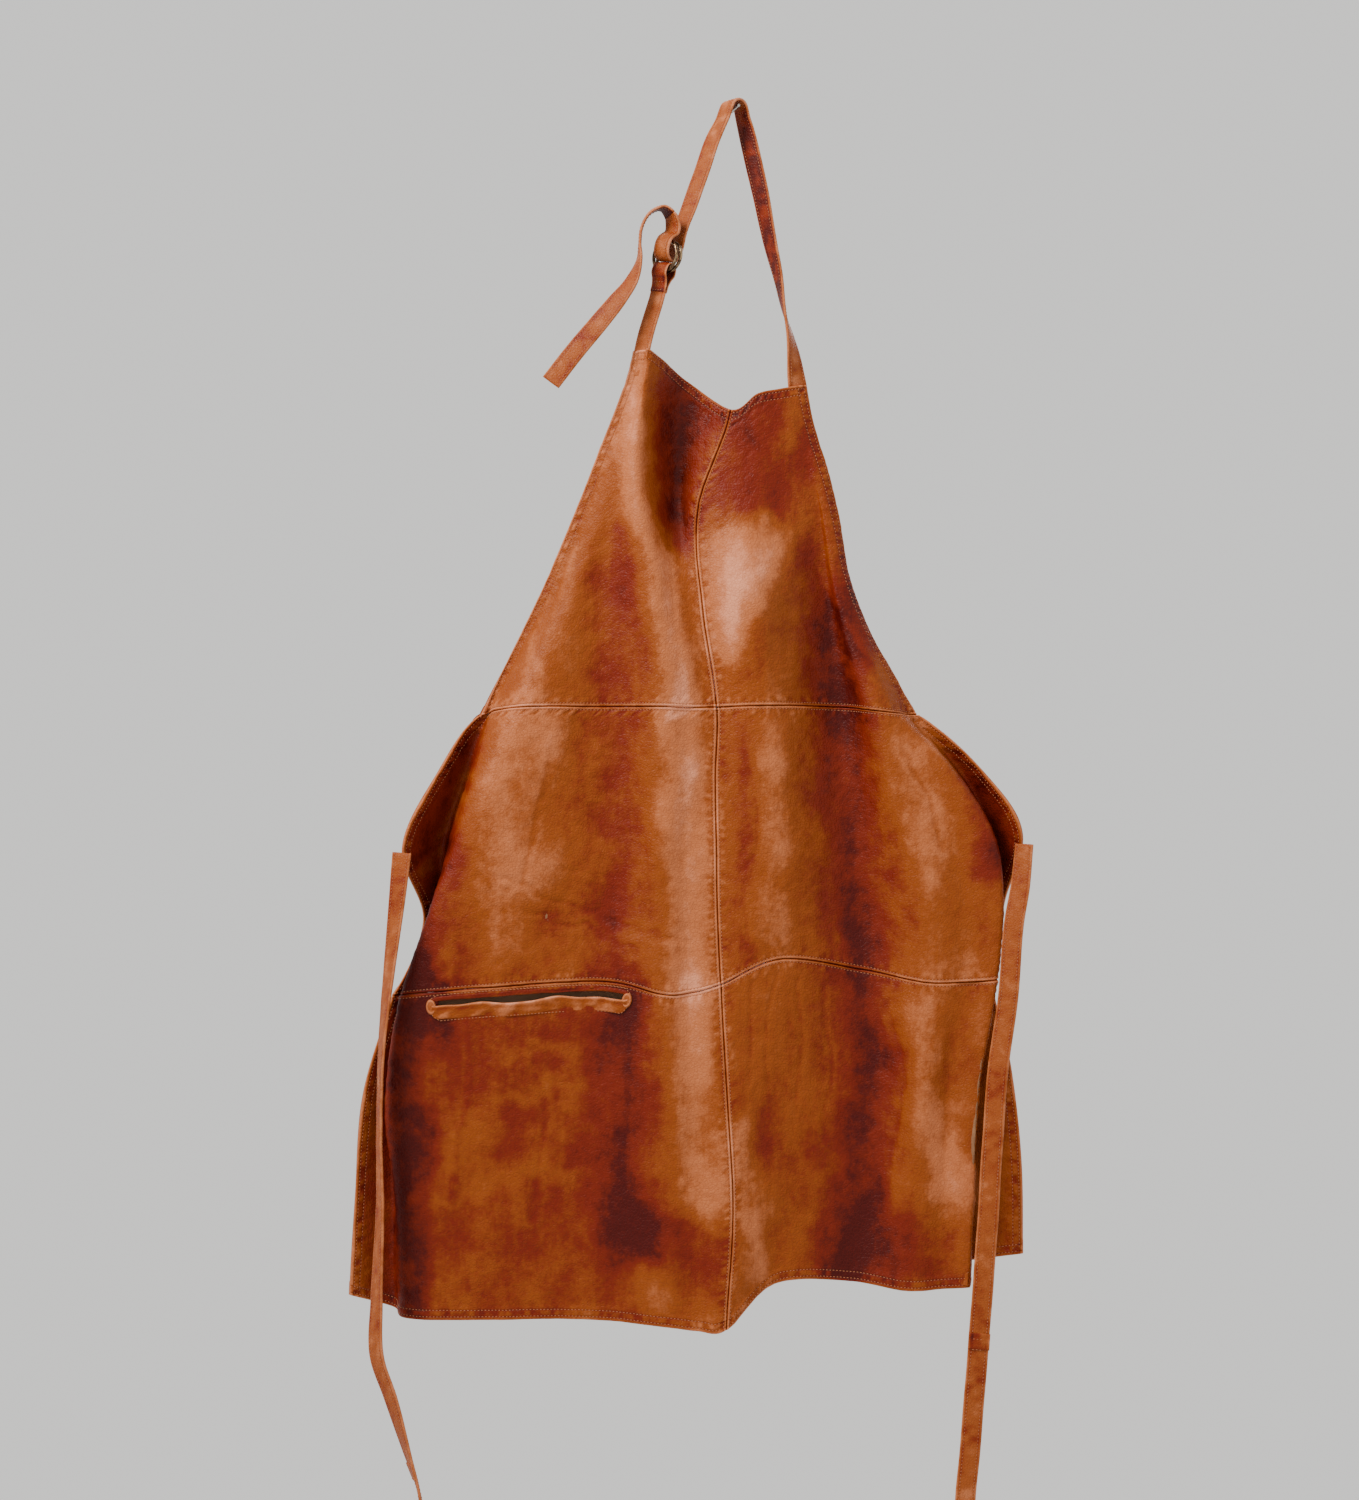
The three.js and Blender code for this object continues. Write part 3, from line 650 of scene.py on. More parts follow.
peg_axis = np.array((
    math.sin(PEG_TURN) * math.cos(PEG_TILT), -math.cos(PEG_TURN) * math.cos(PEG_TILT), math.sin(PEG_TILT),
))
PEG_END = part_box("hook_peg")[0][1]  # how far out from the wall the peg reaches
peg_reach = (PEG_FOOT[1] - PEG_END) / -peg_axis[1] - PEG_RADIUS * math.tan(PEG_TILT)
peg = turned(
    "peg", peg_axis,
    [(0.3 * MM, PEG_RADIUS), (peg_reach - 1.2 * MM, PEG_RADIUS), (peg_reach - 0.2 * MM, 1.3 * MM)],
)
collar = turned("peg_collar", (0, 1, 0), [(0, 4.1 * MM), (0.35 * MM, 4.5 * MM), (1.5 * MM, 4.5 * MM)])
for part, node in ((peg, "hook_peg"), (collar, "hook_collar")):
    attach(part, "hook")
    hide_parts(node)


# ----------------------------------------------------------------- neck strap
# The same folded, stitched strap as the ties. It is sewn behind the bib's right
# corner, bends over the peg, comes down to the two rings, passes between them,
# rolls over the front ring and hangs out as a free tail with a square cut end.
RINGS_CENTRE = np.array((-65.0, -41.0, -143.5))
RINGS_TURN = math.radians(41.8)  # of the buckle's width, from +X towards -Y
rings_up = unit(np.array((0.245, 0, 0.97)))
level = np.array((math.cos(RINGS_TURN), -math.sin(RINGS_TURN), 0))
rings_across = unit(level - rings_up * np.dot(level, rings_up))
rings_front = np.cross(rings_across, rings_up)


def at_rings(up, front):
    """A route's point in the rings' own frame: millimetres up them and in front of them."""
    return (*(RINGS_CENTRE + up * rings_up + front * rings_front), *rings_across)


CROWN_CENTRE = np.array((-3.0, -16.0, -2.5))
CROWN_BEND = 9.0
CROWN_SIDE = np.array((-0.766, -0.643, 0))
crown = []
for angle in np.radians((50, 25, 0, -25, -50)):
    spoke = math.sin(angle) * CROWN_SIDE + math.cos(angle) * np.array((0, 0, 1))
    place = CROWN_CENTRE + CROWN_BEND * spoke
    crown.append((*place, 50))
LEFT_LEG = [
    (-14.2, -20.5, -11, 48), (-20, -23, -24, 42), (-28.5, -27, -48, 39), (-37, -31, -72, 38),
    (-45, -33.5, -96, 39), (-52, -35.2, -114, 41.8), at_rings(22, -7), at_rings(15, -7.4),
    at_rings(8, -7.6), at_rings(1, -6.6), at_rings(-3, -3.6), at_rings(-3.8, -0.2),
]
RIGHT_LEG = [
    (5.8, -10.5, -11, 48), (9, -12, -24, 42), (14, -15, -46, 38), (22, -18.5, -83, 42),
    (29, -21, -120, 52), (37, -23, -156, 68), (43, -24.5, -189, 88), (49, -26.5, -216, 112),
    (53, -28, -240, 138), (55, -28.6, -256, 154), (56.4, -26.4, -268, 158), (58.8, -24.9, -284, 159),
]
ROLL_AND_TAIL = [
    at_rings(-3.8, 0), at_rings(-3.6, 3.4), at_rings(-1.4, 7.6), at_rings(3.6, 10.4), at_rings(10, 10.8),
    at_rings(15.8, 9), at_rings(19.4, 5.6), at_rings(22, 2.6),
    (-60, -42.4, -117.5, 44), (-62, -43.2, -107, 55), (-70, -44, -99.5, 70),
    (-81, -45, -104, 80), (-88.5, -46, -117, 86), (-90.5, -47, -133, 88), (-91, -48, -147, 76),
    (-98, -49, -167, 46), (-111, -50, -185, 24), (-128, -51, -206, 14), (-149, -52, -231, 10),
    (-172, -53, -261, 8),
]
neck_route = LEFT_LEG[::-1] + crown + RIGHT_LEG
# inner=0.9 paints shade on the neck strap's inner face.
neck = strap_piece("neck_strap", neck_route, 21, inner=0.9)
OVER_PEG = dict(a="strap_crown", b="apron", start=(-0.003, -0.016, 0.002), end=(-0.003, -0.016, -0.03))
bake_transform(neck)
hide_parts("neck_strap_crown", "neck_strap_left", "neck_strap_right")
strap_stitches("neck_strap_stitches", neck_route, span=(0.05, 0.95), **OVER_PEG)

TAIL_STARTS = 0.2  # of the route's length
# The roll takes a little painted shade; the tail takes painted shade on its inner face and on its first 30
# mm.
roll = strap_piece("neck_roll", ROLL_AND_TAIL, 22, span=(0, TAIL_STARTS), shade=0.25)
tail = strap_piece("neck_tail", ROLL_AND_TAIL, 23, span=(TAIL_STARTS, 1), inner=-0.95, shaded_start=1.0)
strap_stitches("tail_stitches", ROLL_AND_TAIL, "strap_tail", span=(TAIL_STARTS + 0.01, 0.99))
strap_stitches("roll_stitches", ROLL_AND_TAIL, "buckle_front", span=(0.02, TAIL_STARTS))
for part, body, node in (
    (roll, "buckle_front", "neck_strap_roll"), (tail, "strap_tail", "neck_strap_tail"),
):
    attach(part, body)
    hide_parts(node)


# ------------------------------------------------------- rings and anchor strap
# Two plain wire rings of antique brass, worn bright in patches. The anchor
# strap is sewn behind the bib's left corner; its upper end splits round both
# rings' lower arcs and is stitched down in front.
def brass_finish():
    """Antique brass: brown in the recesses of its wear, brighter where it is rubbed."""
    finish = Finish("old_brass")
    place = finish.place()
    wear = finish.noise(place, 160, 5, 0.65)
    rubbed = wear.between(0.42, 0.6)
    finish.shade("Base Color", finish.mix(rubbed, (0.10, 0.055, 0.03), (0.40, 0.27, 0.15)))
    finish.shade("Metallic", 1.0)
    finish.shade("Roughness", 0.46 - wear * 0.3)
    finish.bumps((wear, 0.2 * MM))
    return finish.material


BRASS = brass_finish()
RING_RADIUS = 14.4
WIRE_RADIUS = 1.6
TURNS, SPINS = 128, 20  # points round a ring and round its wire
turn = np.arange(TURNS) * 2 * math.pi / TURNS
spin = np.arange(SPINS) * 2 * math.pi / SPINS
for name, foot, head in (("front", 2.1, 4.6), ("rear", -2.1, -2.5)):
    low = np.array(at_rings(-0.99 * RING_RADIUS, foot)[:3])
    high = np.array(at_rings(0.99 * RING_RADIUS, head)[:3])
    middle, upward = (low + high) / 2, unit(high - low)
    square = np.cross(rings_across, upward)
    spoke = np.cos(turn)[:, None] * rings_across + np.sin(turn)[:, None] * upward
    out = np.cos(spin)[None, :, None] * spoke[:, None, :] + np.sin(spin)[None, :, None] * square
    points = middle + RING_RADIUS * spoke[:, None, :] + WIRE_RADIUS * out
    around = grid_faces(TURNS + 1, SPINS, around=True) % (TURNS * SPINS)
    ring = new_piece(f"brass_ring_{name}", points.reshape(-1, 3) * MM, around.tolist(), [BRASS])
    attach(ring, f"buckle_{name}")
    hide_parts(f"ring_{name}")

ANCHOR = [
    (-94.2, -34.2, -253, 44), (-90.9, -35.4, -239, 42), (-88.2, -36.2, -226.6, 40), (-84.5, -37, -212, 40),
    (-80.5, -38, -198, 41), at_rings(-40, 0), at_rings(-31.5, 0),
]
FOLD_HALF = 6.05  # half the fold round the rings, to the middle of its thickness
FOLD_TOP, FOLD_RISE = -12, 5.85
fold_round = [
    at_rings(FOLD_TOP + FOLD_RISE * math.cos(angle), FOLD_HALF * math.sin(angle))
    for angle in np.radians((-90, -60, -30, 0, 30, 60, 90))
]
FOLD = [
    at_rings(-34, -1.1), at_rings(-29, -1.3), at_rings(-26, -1.7), at_rings(-21, -3.6),
    at_rings(-16.8, -FOLD_HALF), *fold_round,
    at_rings(-16.8, FOLD_HALF), at_rings(-21, 3.6), at_rings(-26, 1.9),
    at_rings(-29, 1.5), at_rings(-33.5, 1.6),
]
anchor = strap_piece("anchor_length", ANCHOR, 31)
fold = strap_piece("anchor_loop", FOLD, 32, thickness=1.3 * MM, shade=0.95)
strap_stitches("anchor_stitches", ANCHOR, "apron", span=(0.05, 0.93))
for part, node in ((anchor, "anchor_strap"), (fold, "anchor_fold")):
    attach(part, "apron")
    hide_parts(node)

# Two rows close the fold under the rings, and one runs up each of its edges.
fold_rows = []
for up, front in ((-31.8, 2.35), (-24.5, 2.9)):
    fold_rows.append(cross_row(np.array(at_rings(up, front)[:3]) * MM, rings_across, rings_front))
line, along, across, face = strap_frames(FOLD, (0.62, 0.99))
for side in (-1, 1):
    row = line + side * across * (STRAP_WIDTH / 2 - STITCH_INSET) - face * 0.6 * MM
    fold_rows.append((row, along, -face))
stitches("fold_stitches", fold_rows, "apron")


# --------------------------------------------------------------------- panels
# Six panels of waxed tan leather, flesh side in, joined on a curved centre seam,
# a waist seam and a hip seam. Each seam is opened, pressed and top-stitched on
# both sides; every free edge is turned in and held by two rows of stitches.
LEATHER_BODY = 2.0 * MM
# Fold lines run down the apron: a row each, of x and of y at these levels, where
# 0 is the top edge, 1 the waist seam, 2 the hip seam and 3 the hem.
LEVELS = np.array([0, 1 / 3, 2 / 3, 1, 1.25, 1.5, 1.75, 2, 7 / 3, 8 / 3, 3])
FOLD_X = np.array([
    [-97.5, -137, -184, -238, -276, -306, -291, -320, -346, -353, -358],
    [-95, -131, -176, -231, -256, -276, -270, -292, -319, -321, -321],
    [-92, -124, -166, -222, -243, -262, -286, -309, -320, -310, -306],
    [-89, -116, -150, -190, -200, -206, -212, -221, -232, -240, -245],
    [-86, -107, -122, -120, -118, -120, -122, -125, -130, -138, -142],
    [-80, -90, -80, -72, -70, -72, -70, -70, -68, -68, -70],
    [-50, -58, -58, -45, -45, -46, -45, -45, -42, -40, -38],
    [-7, -37, -33, -20, -21, -20, -19, -16, -10, -5, -11],
    [18, 10, 15, 30, 35, 38, 40, 40, 42, 45, 34],
    [38, 66, 78, 90, 96, 102, 113, 114, 121, 116, 104],
    [47, 75, 92, 120, 140, 160, 170, 170, 165, 160, 152],
    [53, 80, 100, 138, 172, 200, 210, 208, 195, 190, 186],
    [58, 84, 106, 150, 203, 236, 243, 237, 222, 216, 212],
    [61, 87, 110, 159, 212, 236, 214, 190, 165, 158, 154],
    [63.5, 90, 113, 167, 226, 258, 246, 236, 252, 261, 262],
])
FOLD_Y = np.array([
    [-30, -26, -22, -20, -36, -54, -22, -20, -30, -32, -34],
    [-32, -28, -24, -18, -13, -12, -10, -10, -12, -14, -14],
    [-36, -31, -30, -34, -46, -52, -52, -50, -48, -46, -44],
    [-40, -35, -36, -50, -54, -56, -56, -54, -52, -50, -48],
    [-43, -40, -34, -36, -37, -38, -40, -44, -46, -46, -44],
    [-45, -48, -52, -54, -54, -54, -54, -55, -56, -56, -54],
    [-14, -12, -44, -48, -48, -48, -48, -50, -54, -56, -56],
    [-34, -30, -42, -45, -46, -48, -50, -54, -60, -62, -62],
    [-38, -40, -60, -54, -54, -54, -52, -50, -46, -46, -46],
    [-37, -30, -24, -22, -24, -26, -26, -28, -30, -32, -34],
    [-34, -32, -34, -44, -50, -52, -54, -52, -52, -50, -48],
    [-32, -32, -34, -46, -50, -52, -52, -50, -48, -47, -46],
    [-30, -30, -32, -38, -52, -56, -56, -54, -54, -54, -54],
    [-29, -28, -28, -26, -16, -14, -12, -12, -12, -12, -12],
    [-28, -26, -24, -22, -34, -54, -30, -24, -36, -40, -42],
])
SEAM_Z = np.array([  # top edge, waist seam, hip seam and hem on each fold line
    [
        -228.5, -228.6, -228.8, -229, -229.4, -230, -252, -283,
        -269, -264.5, -262.5, -261.2, -260.5, -260, -260,
    ],
    [-566, -564, -561, -558, -558, -558, -559, -558.5, -557, -558, -561, -563, -564, -565, -565],
    [-826, -824, -823, -815, -811, -822, -821, -813, -790, -801, -811, -811, -808, -806, -806],
    [-1102, -1117, -1121, -1122, -1122, -1127, -1130, -1128, -1089, -1089, -1095, -1094, -1089, -1084, -1062],
])
EDGE_Z = {0: [-566, -620, -688, -757, -826], 14: [-565, -620, -674, -740, -806]}  # waist to hip
LAST = 14  # the last fold line
CENTRE_SEAM = 7


def station_weights(places, count):
    """Weights of a smooth curve through evenly counted stations, a row a place.

    Each stretch is the cubic whose slope at a station is half the step between
    its two neighbours.
    """
    places = np.asarray(places, float)
    i = np.clip(np.floor(places).astype(int), 0, count - 2)
    f = places - i
    weights = np.zeros((len(places), count))
    rows = np.arange(len(places))
    leave, arrive = (f - 2 * f**2 + f**3) / 2, (f**3 - f**2) / 2
    for column, share in (
        (i, 1 - 3 * f**2 + 2 * f**3 - arrive), (i + 1, 3 * f**2 - 2 * f**3 + leave),
        (np.maximum(i - 1, 0), -leave), (np.minimum(i + 2, count - 1), arrive),
    ):
        np.add.at(weights, (rows, column), share)
    return weights


def drape(folds, levels):
    """Points of the hung leather's outer face, in metres: folds across, levels down.

    x and y are smooth curves through the fold lines and the levels. z runs in
    even steps between the seams on a fold line, or along EDGE_Z at the ties.
    """
    shape = np.broadcast(folds, levels).shape
    folds, levels = (np.broadcast_to(values, shape).ravel() for values in (folds, levels))
    across = station_weights(folds, len(FOLD_X))
    down = station_weights(np.interp(levels, LEVELS, np.arange(len(LEVELS))), len(LEVELS))
    row = np.clip(np.floor(levels).astype(int), 0, 2)
    share = (levels - row)[:, None]
    height = SEAM_Z[row] * (1 - share) + SEAM_Z[row + 1] * share
    waist = (levels > 1) & (levels < 2)
    for fold, kept in EDGE_Z.items():
        height[waist, fold] = station_weights((levels[waist] - 1) * 4, 5) @ kept
    x = np.sum((down @ FOLD_X.T) * across, 1)
    y = np.sum((down @ FOLD_Y.T) * across, 1)
    return np.stack([x, y, np.sum(height * across, 1)], 1).reshape(*shape, 3) * MM


def drape_normals(folds, levels):
    """Unit vectors square to the leather, towards its outer face."""
    step = 0.02
    right = drape(np.minimum(folds + step, LAST), levels) - drape(np.maximum(folds - step, 0), levels)
    low = drape(folds, np.minimum(levels + step, 3)) - drape(folds, np.maximum(levels - step, 0))
    return unit(np.cross(low, right))


EDGE_STEPS = np.array([  # in from an edge, closest at its two rows of stitches
    0, 0.3, 0.7, 1.2, 1.7, 2.2, 2.6, 3.0, 3.4, 3.9, 4.5, 5.4,
    6.4, 7.4, 8.2, 8.6, 9.0, 9.4, 9.9, 10.6, 11.6, 12.4, 13.2, 14.5,
]) * MM
ROW_AT = (3 * MM, 9 * MM)
INNER_STEP = 2.5 * MM


def edge_spaced(lengths, nominal):
    """Shares from 0 to 1 of each length: at EDGE_STEPS from both ends, evenly between."""
    inner = np.linspace(0, 1, int((nominal - 2 * EDGE_STEPS[-1]) / INNER_STEP) + 2)[1:-1]
    lengths = np.asarray(lengths)[:, None]
    near = EDGE_STEPS[None, :] / lengths
    last = EDGE_STEPS[-1] / lengths
    return np.concatenate([near, last + inner[None, :] * (1 - 2 * last), 1 - near[:, ::-1]], 1)


def near_line(x, z, route):
    """Distance in metres from each point to a line through (x, z) stops in millimetres."""
    stops = np.array(route, float) * MM
    nearest = np.full(x.shape, 9.0)
    for a, b in zip(stops[:-1], stops[1:]):
        step = b - a
        share = np.clip(((x - a[0]) * step[0] + (z - a[1]) * step[1]) / np.dot(step, step), 0, 1)
        nearest = np.minimum(nearest, np.hypot(x - a[0] - share * step[0], z - a[1] - share * step[1]))
    return nearest


# Painted shade down the folds' valleys and painted highlight on their lit ridges,
# partly the wax's own darkening and paling where the leather folds and stretches:
# strength, half width in millimetres, and the line down the apron.
FOLD_SHADE_AND_PATINA = [
    (1.1, 19, [(-62, -236), (-60, -300), (-58, -360), (-56, -396)]),
    (1.15, 27, [
        (92, -470), (95, -560), (97, -620), (106, -690), (112, -760), (116, -830), (118, -900),
        (114, -980), (106, -1040), (100, -1075),
    ]),
    (0.3, 26, [(98, -440), (108, -500), (118, -540)]),
    (1.1, 24, [(226, -600), (238, -650), (236, -700)]),
    (1.1, 22, [(-254, -600), (-276, -650), (-288, -700), (-280, -760), (-296, -815)]),
    (1.0, 24, [(-300, -815), (-308, -900), (-308, -1010), (-304, -1115)]),
    (0.35, 12, [(200, -750), (196, -806), (184, -905)]),
    (0.55, 27, [(-114, -410), (-112, -555), (-112, -640), (-108, -720), (-112, -800)]),
    (0.8, 31, [(-112, -842), (-108, -900), (-110, -960), (-104, -1020), (-88, -1046)]),
    (0.55, 28, [(-100, -1044), (-44, -1052), (-22, -1066)]),
    (0.5, 95, [(-215, -880), (-200, -960), (-190, -1070)]),
    (0.55, 30, [(-4, -292), (6, -330), (2, -366)]),
    (0.4, 40, [(40, -290), (60, -340), (66, -380)]),
    (0.4, 9, [(60, -404), (34, -462), (2, -526)]),
    (0.35, 12, [(6, -580), (8, -640), (6, -780)]),
    (0.35, 26, [(40, -850), (30, -920), (52, -1000)]),
    (0.45, 44, [(130, -1075), (180, -1062), (206, -1066)]),
]
FOLD_HIGHLIGHT_AND_PULL = [
    (0.95, 15, [(-90, -236), (-98, -320), (-92, -380), (-72, -424), (-60, -500), (-52, -560)]),
    (0.85, 25, [(-52, -562), (-50, -700), (-46, -810)]),
    (0.8, 24, [(-44, -830), (-38, -930), (-26, -1010)]),
    (0.5, 15, [(-88, -1082), (-72, -1104)]),
    (0.65, 13, [(2, -940), (14, -1010), (18, -1085)]),
    (0.95, 19, [(-14, -400), (-12, -450), (-14, -505)]),
    (0.75, 22, [(20, -402), (8, -440), (0, -470)]),
    (0.6, 15, [(44, -398), (26, -430)]),
    (0.55, 36, [(-196, -575), (-203, -700), (-212, -760)]),
    (0.3, 26, [(-150, -330), (-165, -420), (-185, -520)]),
    (0.55, 32, [(150, -600), (184, -690), (194, -760), (196, -800)]),
    (0.6, 30, [(165, -840), (186, -920), (190, -1000)]),
    (0.45, 18, [(30, -560), (36, -690), (40, -790)]),
    (0.4, 10, [(-238, -926), (-190, -912), (-146, -900)]),
    (0.45, 12, [(-240, -1004), (-200, -984), (-150, -990)]),
    (0.35, 8, [(-214, -880), (-176, -868), (-150, -874)]),
    (0.5, 6, [(-236, -586), (-262, -640), (-290, -718), (-307, -813)]),
]
CREASES = [  # height in millimetres, half width, and the line
    (-0.9, 3.2, [(-219, -716), (-160, -738), (-100, -762), (-44, -772)]),
    (-0.7, 2.6, [(-196, -748), (-140, -762), (-84, -786)]),
    (-0.7, 2.4, [(8, -622), (15, -650), (16, -682), (9, -706)]),
    (-0.6, 2.0, [(6, -726), (12, -748), (9, -770)]),
    (-0.8, 2.2, [(12, -812), (8, -850), (14, -900)]),
    (-0.8, 2.0, [(34, -806), (28, -850), (31, -902)]),
    (-0.7, 2.2, [(54, -808), (60, -862), (56, -930)]),
    (-0.6, 2.4, [(76, -812), (84, -880), (80, -960)]),
    (-0.7, 3.0, [(-128, -330), (-150, -400), (-176, -468)]),
    (-0.5, 2.6, [(70, -430), (110, -505), (150, -548)]),
    (-0.6, 3.0, [(-168, -600), (-190, -660), (-196, -720)]),
    (-0.6, 3.0, [(150, -600), (176, -640), (190, -690)]),
    (0.6, 3.0, [(-246, -850), (-250, -930), (-262, -1010)]),
    (-0.6, 3.0, [(-188, -872), (-176, -940), (-190, -1030)]),
    (-0.5, 2.4, [(140, -830), (150, -900), (142, -980)]),
    (-0.6, 2.6, [(196, -850), (188, -920), (196, -1000)]),
]
# From the darkest painted shade to the brightest painted highlight, with the leather's own tones between.
APRON_TONES = (
    (0.055, 0.0012, 0.0), (0.150, 0.0095, 0.0), (0.240, 0.048, 0.0015),
    (0.42, 0.122, 0.040), (0.62, 0.23, 0.12),
)
APRON_LEATHER = waxed_leather("apron_leather", APRON_TONES)
FLESH = suede("flesh_side", (0.30, 0.15, 0.075), (0.19, 0.085, 0.04))
# The pocket's slit, from one fold line to another at a level of the skirt.
POCKET = dict(left=2.42, right=4.36, middle=2.038, mouth=5 * MM, welt=6 * MM)
SKIRT_LENGTH = 307 * MM  # from hip seam to hem where the pocket is: one level


def turned_in(distance):
    """How much thicker a turned hem is, behind: 1.3 mm out to 12.5 mm, then sloping off."""
    return 0.65 * MM * (1 - np.tanh((distance - 12.5 * MM) / (0.7 * MM)))


def hem_relief(distance, run, seed):
    """A turned edge's outer face: two stitched furrows, a fullness between, puckers.

    Furrows are 0.34 mm dips under the two rows. Puckers are waves along the
    edge, strongest halfway between the rows.
    """
    puckers = ripples(run, distance * 0.35, seed, 5 * MM, 16 * MM, 14)
    between, outer = bell(distance - 6 * MM, 2.6 * MM), bell(distance - 13 * MM, 5 * MM)
    furrows = sum(bell(distance - at, 0.55 * MM) for at in ROW_AT)
    ridge = 0.15 * MM * (1 - np.tanh((distance - 12.4 * MM) / (1.0 * MM)))
    height = ridge - 0.5 * MM * bell(distance, 0.7 * MM) - 0.34 * MM * furrows
    height = height + 0.34 * MM * between * puckers + 0.22 * MM * outer * puckers
    # The pucker crests are painted paler as painted highlight, and the pucker troughs and stitched furrows
    # darker as painted shade.
    pale = 0.75 * bell(distance, 1.6 * MM) + 0.24 * between * np.clip(puckers, 0, 1.4)
    dark = 0.3 * between * np.clip(-puckers, 0, 1.3) + 0.5 * furrows
    return height, pale, dark


def seam_relief(distance, run, seed):
    """A seam's edge: the leather turns down into it, with one stitched furrow."""
    puckers = ripples(run, distance * 0.3, seed, 4 * MM, 13 * MM, 14)
    furrow, outer = bell(distance - ROW_AT[0], 0.5 * MM), bell(distance - 6 * MM, 3.5 * MM)
    roll = 0.22 * MM * bell(distance - 1.6 * MM, 0.8 * MM) - 0.85 * MM * bell(distance, 0.55 * MM)
    height = roll - 0.3 * MM * furrow + 0.2 * MM * outer * puckers
    # The pale roll and pucker crests are partly the leather's own paling where it bends and partly painted
    # highlight; the dark seam gap, furrow and pucker troughs are painted shade.
    pale = 0.75 * bell(distance - 1.5 * MM, 1.1 * MM) + 0.22 * outer * np.clip(puckers, 0, 1.4)
    dark = 0.9 * bell(distance, 0.45 * MM) + 0.5 * furrow + 0.22 * outer * np.clip(-puckers, 0, 1.3)
    return height, pale, dark


def lengths_along(points, axis):
    """Running lengths of a grid of points along one of its axes."""
    steps = np.linalg.norm(np.diff(points, axis=axis), axis=2)
    return np.cumsum(np.concatenate([np.zeros_like(np.take(steps, [0], axis)), steps], axis), axis)


def panel_grid(folds, levels):
    """Fold and level of each point of a panel's grid, and its widest and tallest run.

    The points lie at EDGE_STEPS from all four edges and evenly between them.
    """
    wide = drape(np.linspace(*folds, 200)[None, :], np.linspace(*levels, 9)[:, None])
    widest = float(lengths_along(wide, 1)[:, -1].max())
    tall = drape(np.linspace(*folds, 9)[None, :], np.linspace(*levels, 60)[:, None])
    tallest = float(lengths_along(tall, 0)[-1].max())
    sample, nominal = np.linspace(*folds, 300), np.linspace(0, 1, 60)
    rows_fine = drape(sample[None, :], (levels[0] + nominal * (levels[1] - levels[0]))[:, None])
    run_fine = lengths_along(rows_fine, 1)
    row_levels = edge_spaced([tallest], tallest)[0]
    shares = edge_spaced(np.interp(row_levels, nominal, run_fine[:, -1]), widest)
    fold_at = np.empty_like(shares)
    for j, level in enumerate(row_levels):
        k = min(int(level * 59), 58)
        curve = run_fine[k] + (run_fine[k + 1] - run_fine[k]) * (level * 59 - k)
        fold_at[j] = np.interp(shares[j] * curve[-1], curve, sample)
    heights = drape(fold_at, levels[0]) - drape(fold_at, levels[1])
    columns = edge_spaced(np.maximum(heights[..., 2].mean(0), 0.05), tallest).T
    return fold_at, levels[0] + columns * (levels[1] - levels[0]), widest, tallest


def panel_relief(x, z, gaps, hems, seed):
    """How far each point stands off the drape, before and behind, and its two tones:
    how pale, partly the leather's own paling and partly painted highlight, and how
    dark, partly the wax's own patina and partly painted shade.

    It is the sum of soft ripples, the edges' relief, the creases and the folds.
    gaps holds each edge's name, with every point's distance from it and run along it.
    """
    skew = ripples(x, z * 0.5, seed + 40, 30 * MM, 110 * MM)
    bent = ripples(x, z, seed + 45, 14 * MM, 60 * MM)
    height = 0.55 * MM * skew + 0.16 * MM * ripples(x, z, seed + 50, 7 * MM, 24 * MM)
    behind = np.full(x.shape, LEATHER_BODY)
    # The leather is painted paler where the broad ripples stand forward: painted highlight.
    pull, hollow = 0.10 * skew, np.zeros_like(x)
    for number, (edge, (distance, run)) in enumerate(gaps.items()):
        relief = hem_relief if edge in hems else seam_relief
        rise, pale, dark = relief(distance, run, 7 * seed + number)
        height, pull, hollow = height + rise, pull + pale, hollow + dark
        behind = behind + (turned_in(distance) if edge in hems else 0.9 * turned_in(distance + 4 * MM))
    # Each crease is painted darker in its dip as painted shade, with a pale painted highlight along its
    # sides.
    for depth, half, route in CREASES:
        away = near_line(x + 2.2 * MM * skew, z + 2.2 * MM * bent, route)
        dip = bell(away, half * MM)
        height = height + depth * MM * dip
        pull = pull + 0.10 * bell(away - 1.8 * half * MM, 1.1 * half * MM)
        hollow = hollow + 0.1 * dip
    # The fold tables add painted shade in the valleys and painted highlight on the ridges.
    for strength, half, route in FOLD_SHADE_AND_PATINA:
        away = near_line(x + 3 * MM * skew + 2 * MM * bent, z, route) / (half * MM)
        hollow = hollow + 0.8 * strength * np.exp(-(away**2) * 0.8)
    for strength, half, route in FOLD_HIGHLIGHT_AND_PULL:
        away = near_line(x - 3 * MM * skew, z + 3 * MM * bent, route)
        pull = pull + 0.85 * strength * bell(away, half * MM)
    return height, behind, pull, np.clip(hollow, 0, 1.3)


def slit_cells(name, fold_at, level_at):
    """Which cells of a panel's grid the pocket's mouth leaves open."""
    if name != "skirt_panel_left":
        return np.zeros((len(fold_at) - 1, fold_at.shape[1] - 1), bool)
    fold = (fold_at[:-1, :-1] + fold_at[1:, 1:]) / 2
    off = np.abs((level_at[:-1, :-1] + level_at[1:, 1:]) / 2 - POCKET["middle"]) * SKIRT_LENGTH
    return (fold > POCKET["left"] + 0.06) & (fold < POCKET["right"] - 0.06) & (off < POCKET["mouth"])


